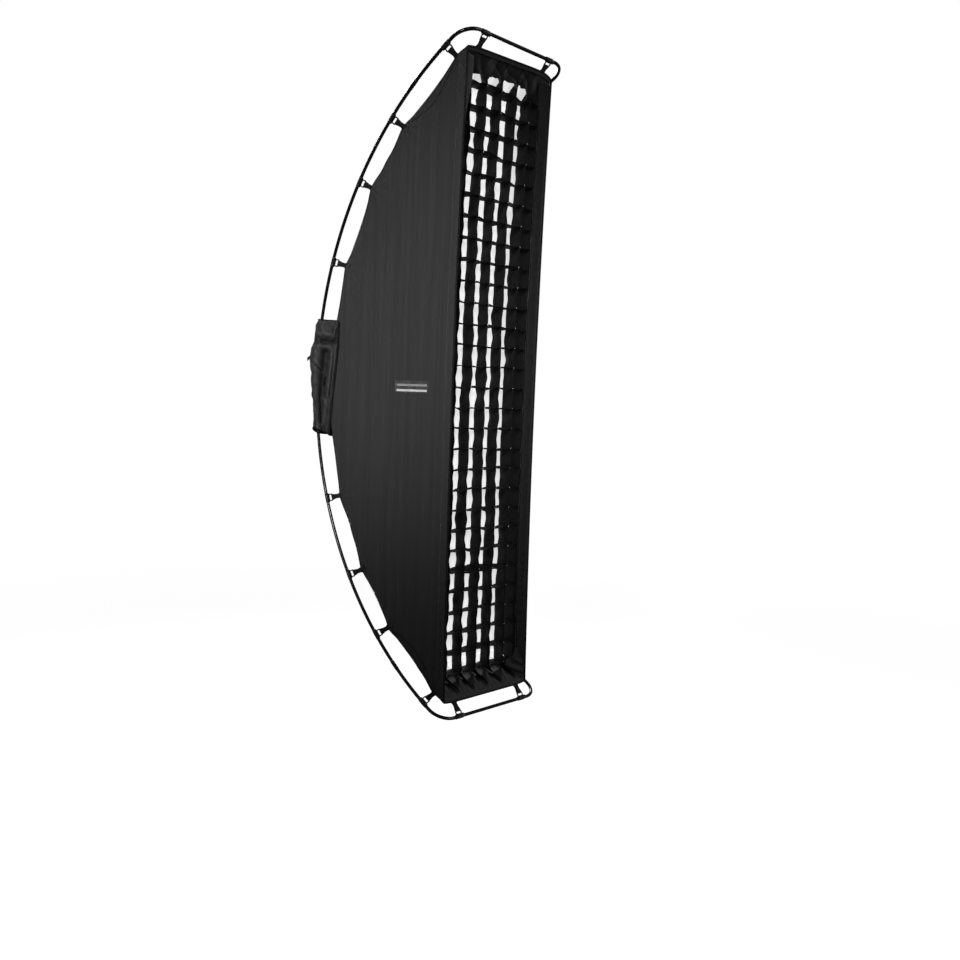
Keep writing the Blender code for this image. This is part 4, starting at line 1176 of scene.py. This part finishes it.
def make_cord():
    cord_depth, loop_radius = 0.688, 0.0825
    turn = linspace(0.04, 2 * pi - 0.04, 140)
    radius = loop_radius + 0.0006 * sin(30 * turn)
    loop = points_at(radius * sin(turn), cord_depth, -radius * cos(turn))
    hang = array([(3, 0, -loop_radius / MM), (3, 0, -98), (3, 0, -116), (3.6, -0.5, -135), (5, -1, -150),
                  (4.2, 0.5, -166)]) * MM
    hang = resample(rounded(hang, 2), 0.002)
    tails = [points_at(side * hang[:, 0], cord_depth + hang[:, 1], hang[:, 2]) for side in (1, -1)]
    braid = concatenate([tails[0][::-1], loop, tails[1]])
    tubes("drawcord_braid", [braid], 0.0015, "cord", slot="webbing")
    knots = [tail[-1] + [(0, 0, 0.003), (0, 0, 0), (0, 0, -0.003)] for tail in tails]
    tubes("drawcord_ends", knots, array([0.0016, 0.0024, 0.0016]), "cord", 12, slot="webbing")
    heights = array([-97.8, -98.3, -99.5, -103.5, -110.5, -114.5, -115.7, -116.2]) * MM
    swell = array([5.5, 7.2, 8.2, 8.5, 8.5, 8.2, 7.2, 5.5]) * MM
    lock = points_at(0.0, cord_depth, heights)
    tubes("cord_lock_body", [lock], swell, "plastic", 32, "cord_stop", "clip_plastic")
    depths = cord_depth + array([4.5, 9.5, 10.4, 10.9, 11.1]) * MM
    cap = array([3, 3, 2.9, 2.4, 1.4]) * MM
    button = points_at(0.0, depths, -0.107)
    tubes("cord_lock_button_cap", [button], cap, "knob", 24, "cord_button", "clip_plastic")


# Speedring, knob and label

# Height, radius and depth of fluting up the knob; lengths in millimetres.
KNOB_RINGS = ((98.7, 8.8, 0), (99.5, 9.6, 0), (103.5, 9.6, 0), (104.5, 11.2, 0.5), (106.5, 12, 1),
              (122.5, 12, 1), (124.5, 11.6, 0.7), (125.6, 10.5, 0.3), (126, 8.5, 0), (126, 0.1, 0))


def make_knob():
    """A fluted lock knob on the same axis as the CAD knob."""
    turn = full_turn(96)[None, :]
    height, radius, flute = array(KNOB_RINGS).T[:, :, None]
    radius = radius * MM - 0.0007 * flute * (0.5 - 0.5 * cos(16 * turn))
    points = points_at(radius * cos(turn), RING_DEPTH + radius * sin(turn), height * MM)
    faces = [list(face) for face in quads(*points.shape[:2], wrap=True)] + [list(range(96))]
    piece = make_piece("lock_knob_grip", points.reshape(-1, 3), faces, "knob", "knob", "clip_plastic")
    piece.data.set_sharp_from_angle(angle=radians(45))


def make_label():
    """A plain woven patch sewn to the left panel."""
    columns, rows = 60, 24
    depth, z = np.broadcast_arrays(0.258 - 0.148 * over(0, 1, columns), -0.0275 + 0.035 * down(0, 1, rows))
    points = side_surface(-1, depth, z, 0.0012)
    uvs = pairs(linspace(0, 1, rows), linspace(0, 1, columns))[:, ::-1]
    slot = "label_print"
    faces = quads(rows, columns)
    piece = make_piece("side_label_patch", points.reshape(-1, 3), faces, "patch", slot=slot, uvs=uvs)
    thicken(piece, 0.0008)
    edges = [points[1, 1:-1], points[1:-1, -2], points[-2, -2:0:-1], points[-2:0:-1, 1]]
    border = concatenate(edges) - (0.0006, 0, 0)
    stitches("side_label_stitches", [border], slot=slot, pitch=0.003, length=0.0022, radius=0.0003)


def dress_frame_nodes():
    """Procedural materials for the CAD nodes that are shown as packed."""
    steel = ["retaining_ring", "flash_adapter", "lock_shoe"] + [f"retainer_screw_{i}" for i in (1, 2, 3)]
    steel += [f"hub_screw_{side}" for _, side in SIDES]
    steel += [f"spigot_{end}_{side}" for _, end in ENDS for _, side in SIDES]
    finishes = {"cast": ["speedring_body"], "plastic": ["hub_left", "hub_right"], "steel": steel}
    for finish, nodes in finishes.items():
        for name in nodes:
            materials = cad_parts[name].data.materials
            materials.clear()
            materials.append(LOOKS[finish])


# Stage

def area_light(name, place, aim, size, power, spread):
    light = bpy.data.lights.new(name, "AREA")
    light.shape = "RECTANGLE"
    light.size, light.size_y = size
    light.energy = power
    light.spread = radians(spread)
    lamp = new_object(name, light)
    lamp.location = place
    lamp.rotation_euler = (Vector(aim) - Vector(place)).to_track_quat("-Z", "Y").to_euler()
    lamp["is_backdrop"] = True


def floor_look():
    """A pale floor that fades into the backdrop and sends little light back up."""
    look = Look("studio_floor", 0.95)
    look.colour(look.noise(0.4), (0.3, 0.20), (0.7, 0.23))
    distance = look.add("ShaderNodeVectorMath", {0: look.place["Object"]}, operation="LENGTH")["Value"]
    inputs = {"Value": distance, "From Min": 2.0, "From Max": 9.0, "To Min": 0.94}
    fade = look.add("ShaderNodeMapRange", inputs, interpolation_type="SMOOTHSTEP")["Result"]
    look.set("Emission Color", (1, 1, 1, 1))
    look.set("Emission Strength", look.times(fade, look.add("ShaderNodeLightPath")["Is Camera Ray"]))
    return look.material


def make_stage():
    half, ground = 30, -1.47
    corners = [(half * x, half * y, ground) for x, y in ((-1, -1), (1, -1), (1, 1), (-1, 1))]
    mesh = bpy.data.meshes.new("floor")
    mesh.from_pydata(corners, [], [(0, 1, 2, 3)])
    mesh.materials.append(floor_look())
    new_object("floor", mesh)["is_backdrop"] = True

    world = bpy.data.worlds.new("studio")
    bpy.context.scene.world = world
    world.use_nodes = True
    tree, white = world.node_tree, (1, 1, 1, 1)
    seen = add_node(tree, "ShaderNodeLightPath", {})["Is Camera Ray"]
    backdrop = tree.nodes["Background"]
    put(tree, backdrop.inputs["Color"], white)
    put(tree, backdrop.inputs["Strength"], 1.0)
    fill = add_node(tree, "ShaderNodeBackground", {"Color": white, "Strength": 0.12})["Background"]
    mix = add_node(tree, "ShaderNodeMixShader", {"Fac": seen, 1: fill, 2: backdrop.outputs["Background"]})
    put(tree, tree.nodes["World Output"].inputs["Surface"], mix["Shader"])

    area_light("key_upper", (-2.7, -1.5, 1.5), (-0.17, 0.0, 0.50), (1.3, 0.4), 2.05, 21)
    area_light("key_lower", (-2.7, -1.5, 1.1), (-0.17, 0.0, -0.10), (1.3, 0.4), 2.3, 22)
    area_light("front", (1.0, -3.2, 0.9), (0, -0.3, -0.1), (1.4, 1.4), 13, 120)
    area_light("rear", (1.6, 2.6, 1.8), (0, 0.2, 0), (1.6, 1.6), 45, 120)


def make_camera():
    turn, tilt, roll = radians(-45.37), radians(4.98), radians(2.26)
    ahead = Vector((-sin(turn) * cos(tilt), cos(turn) * cos(tilt), -sin(tilt)))
    level = Vector((cos(turn), sin(turn), 0))
    upright = level.cross(ahead)
    right = cos(roll) * level + sin(roll) * upright
    up = -sin(roll) * level + cos(roll) * upright
    camera = bpy.data.cameras.new("camera")
    camera.sensor_width = 36
    camera.lens = 34.53
    viewer = new_object("camera", camera)
    matrix = Matrix((right, up, -ahead)).transposed().to_4x4()
    matrix.translation = Vector((-1.929, FRONT_Y - 1.844, -0.039))
    viewer.matrix_world = matrix
    bpy.context.scene.camera = viewer


LOOKS = make_looks()
make_side_panels()
make_back_panel()
make_poles()
make_clips_and_tabs()
make_lip()
make_grid()
make_diffuser()
make_baffle()
make_rear_cover()
make_knob()
make_label()
dress_frame_nodes()
make_stage()
make_camera()
bpy.context.scene.view_settings.view_transform = "Standard"

sizes = [[list(corner) for corner in box] for box in (packed_bounds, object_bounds())]
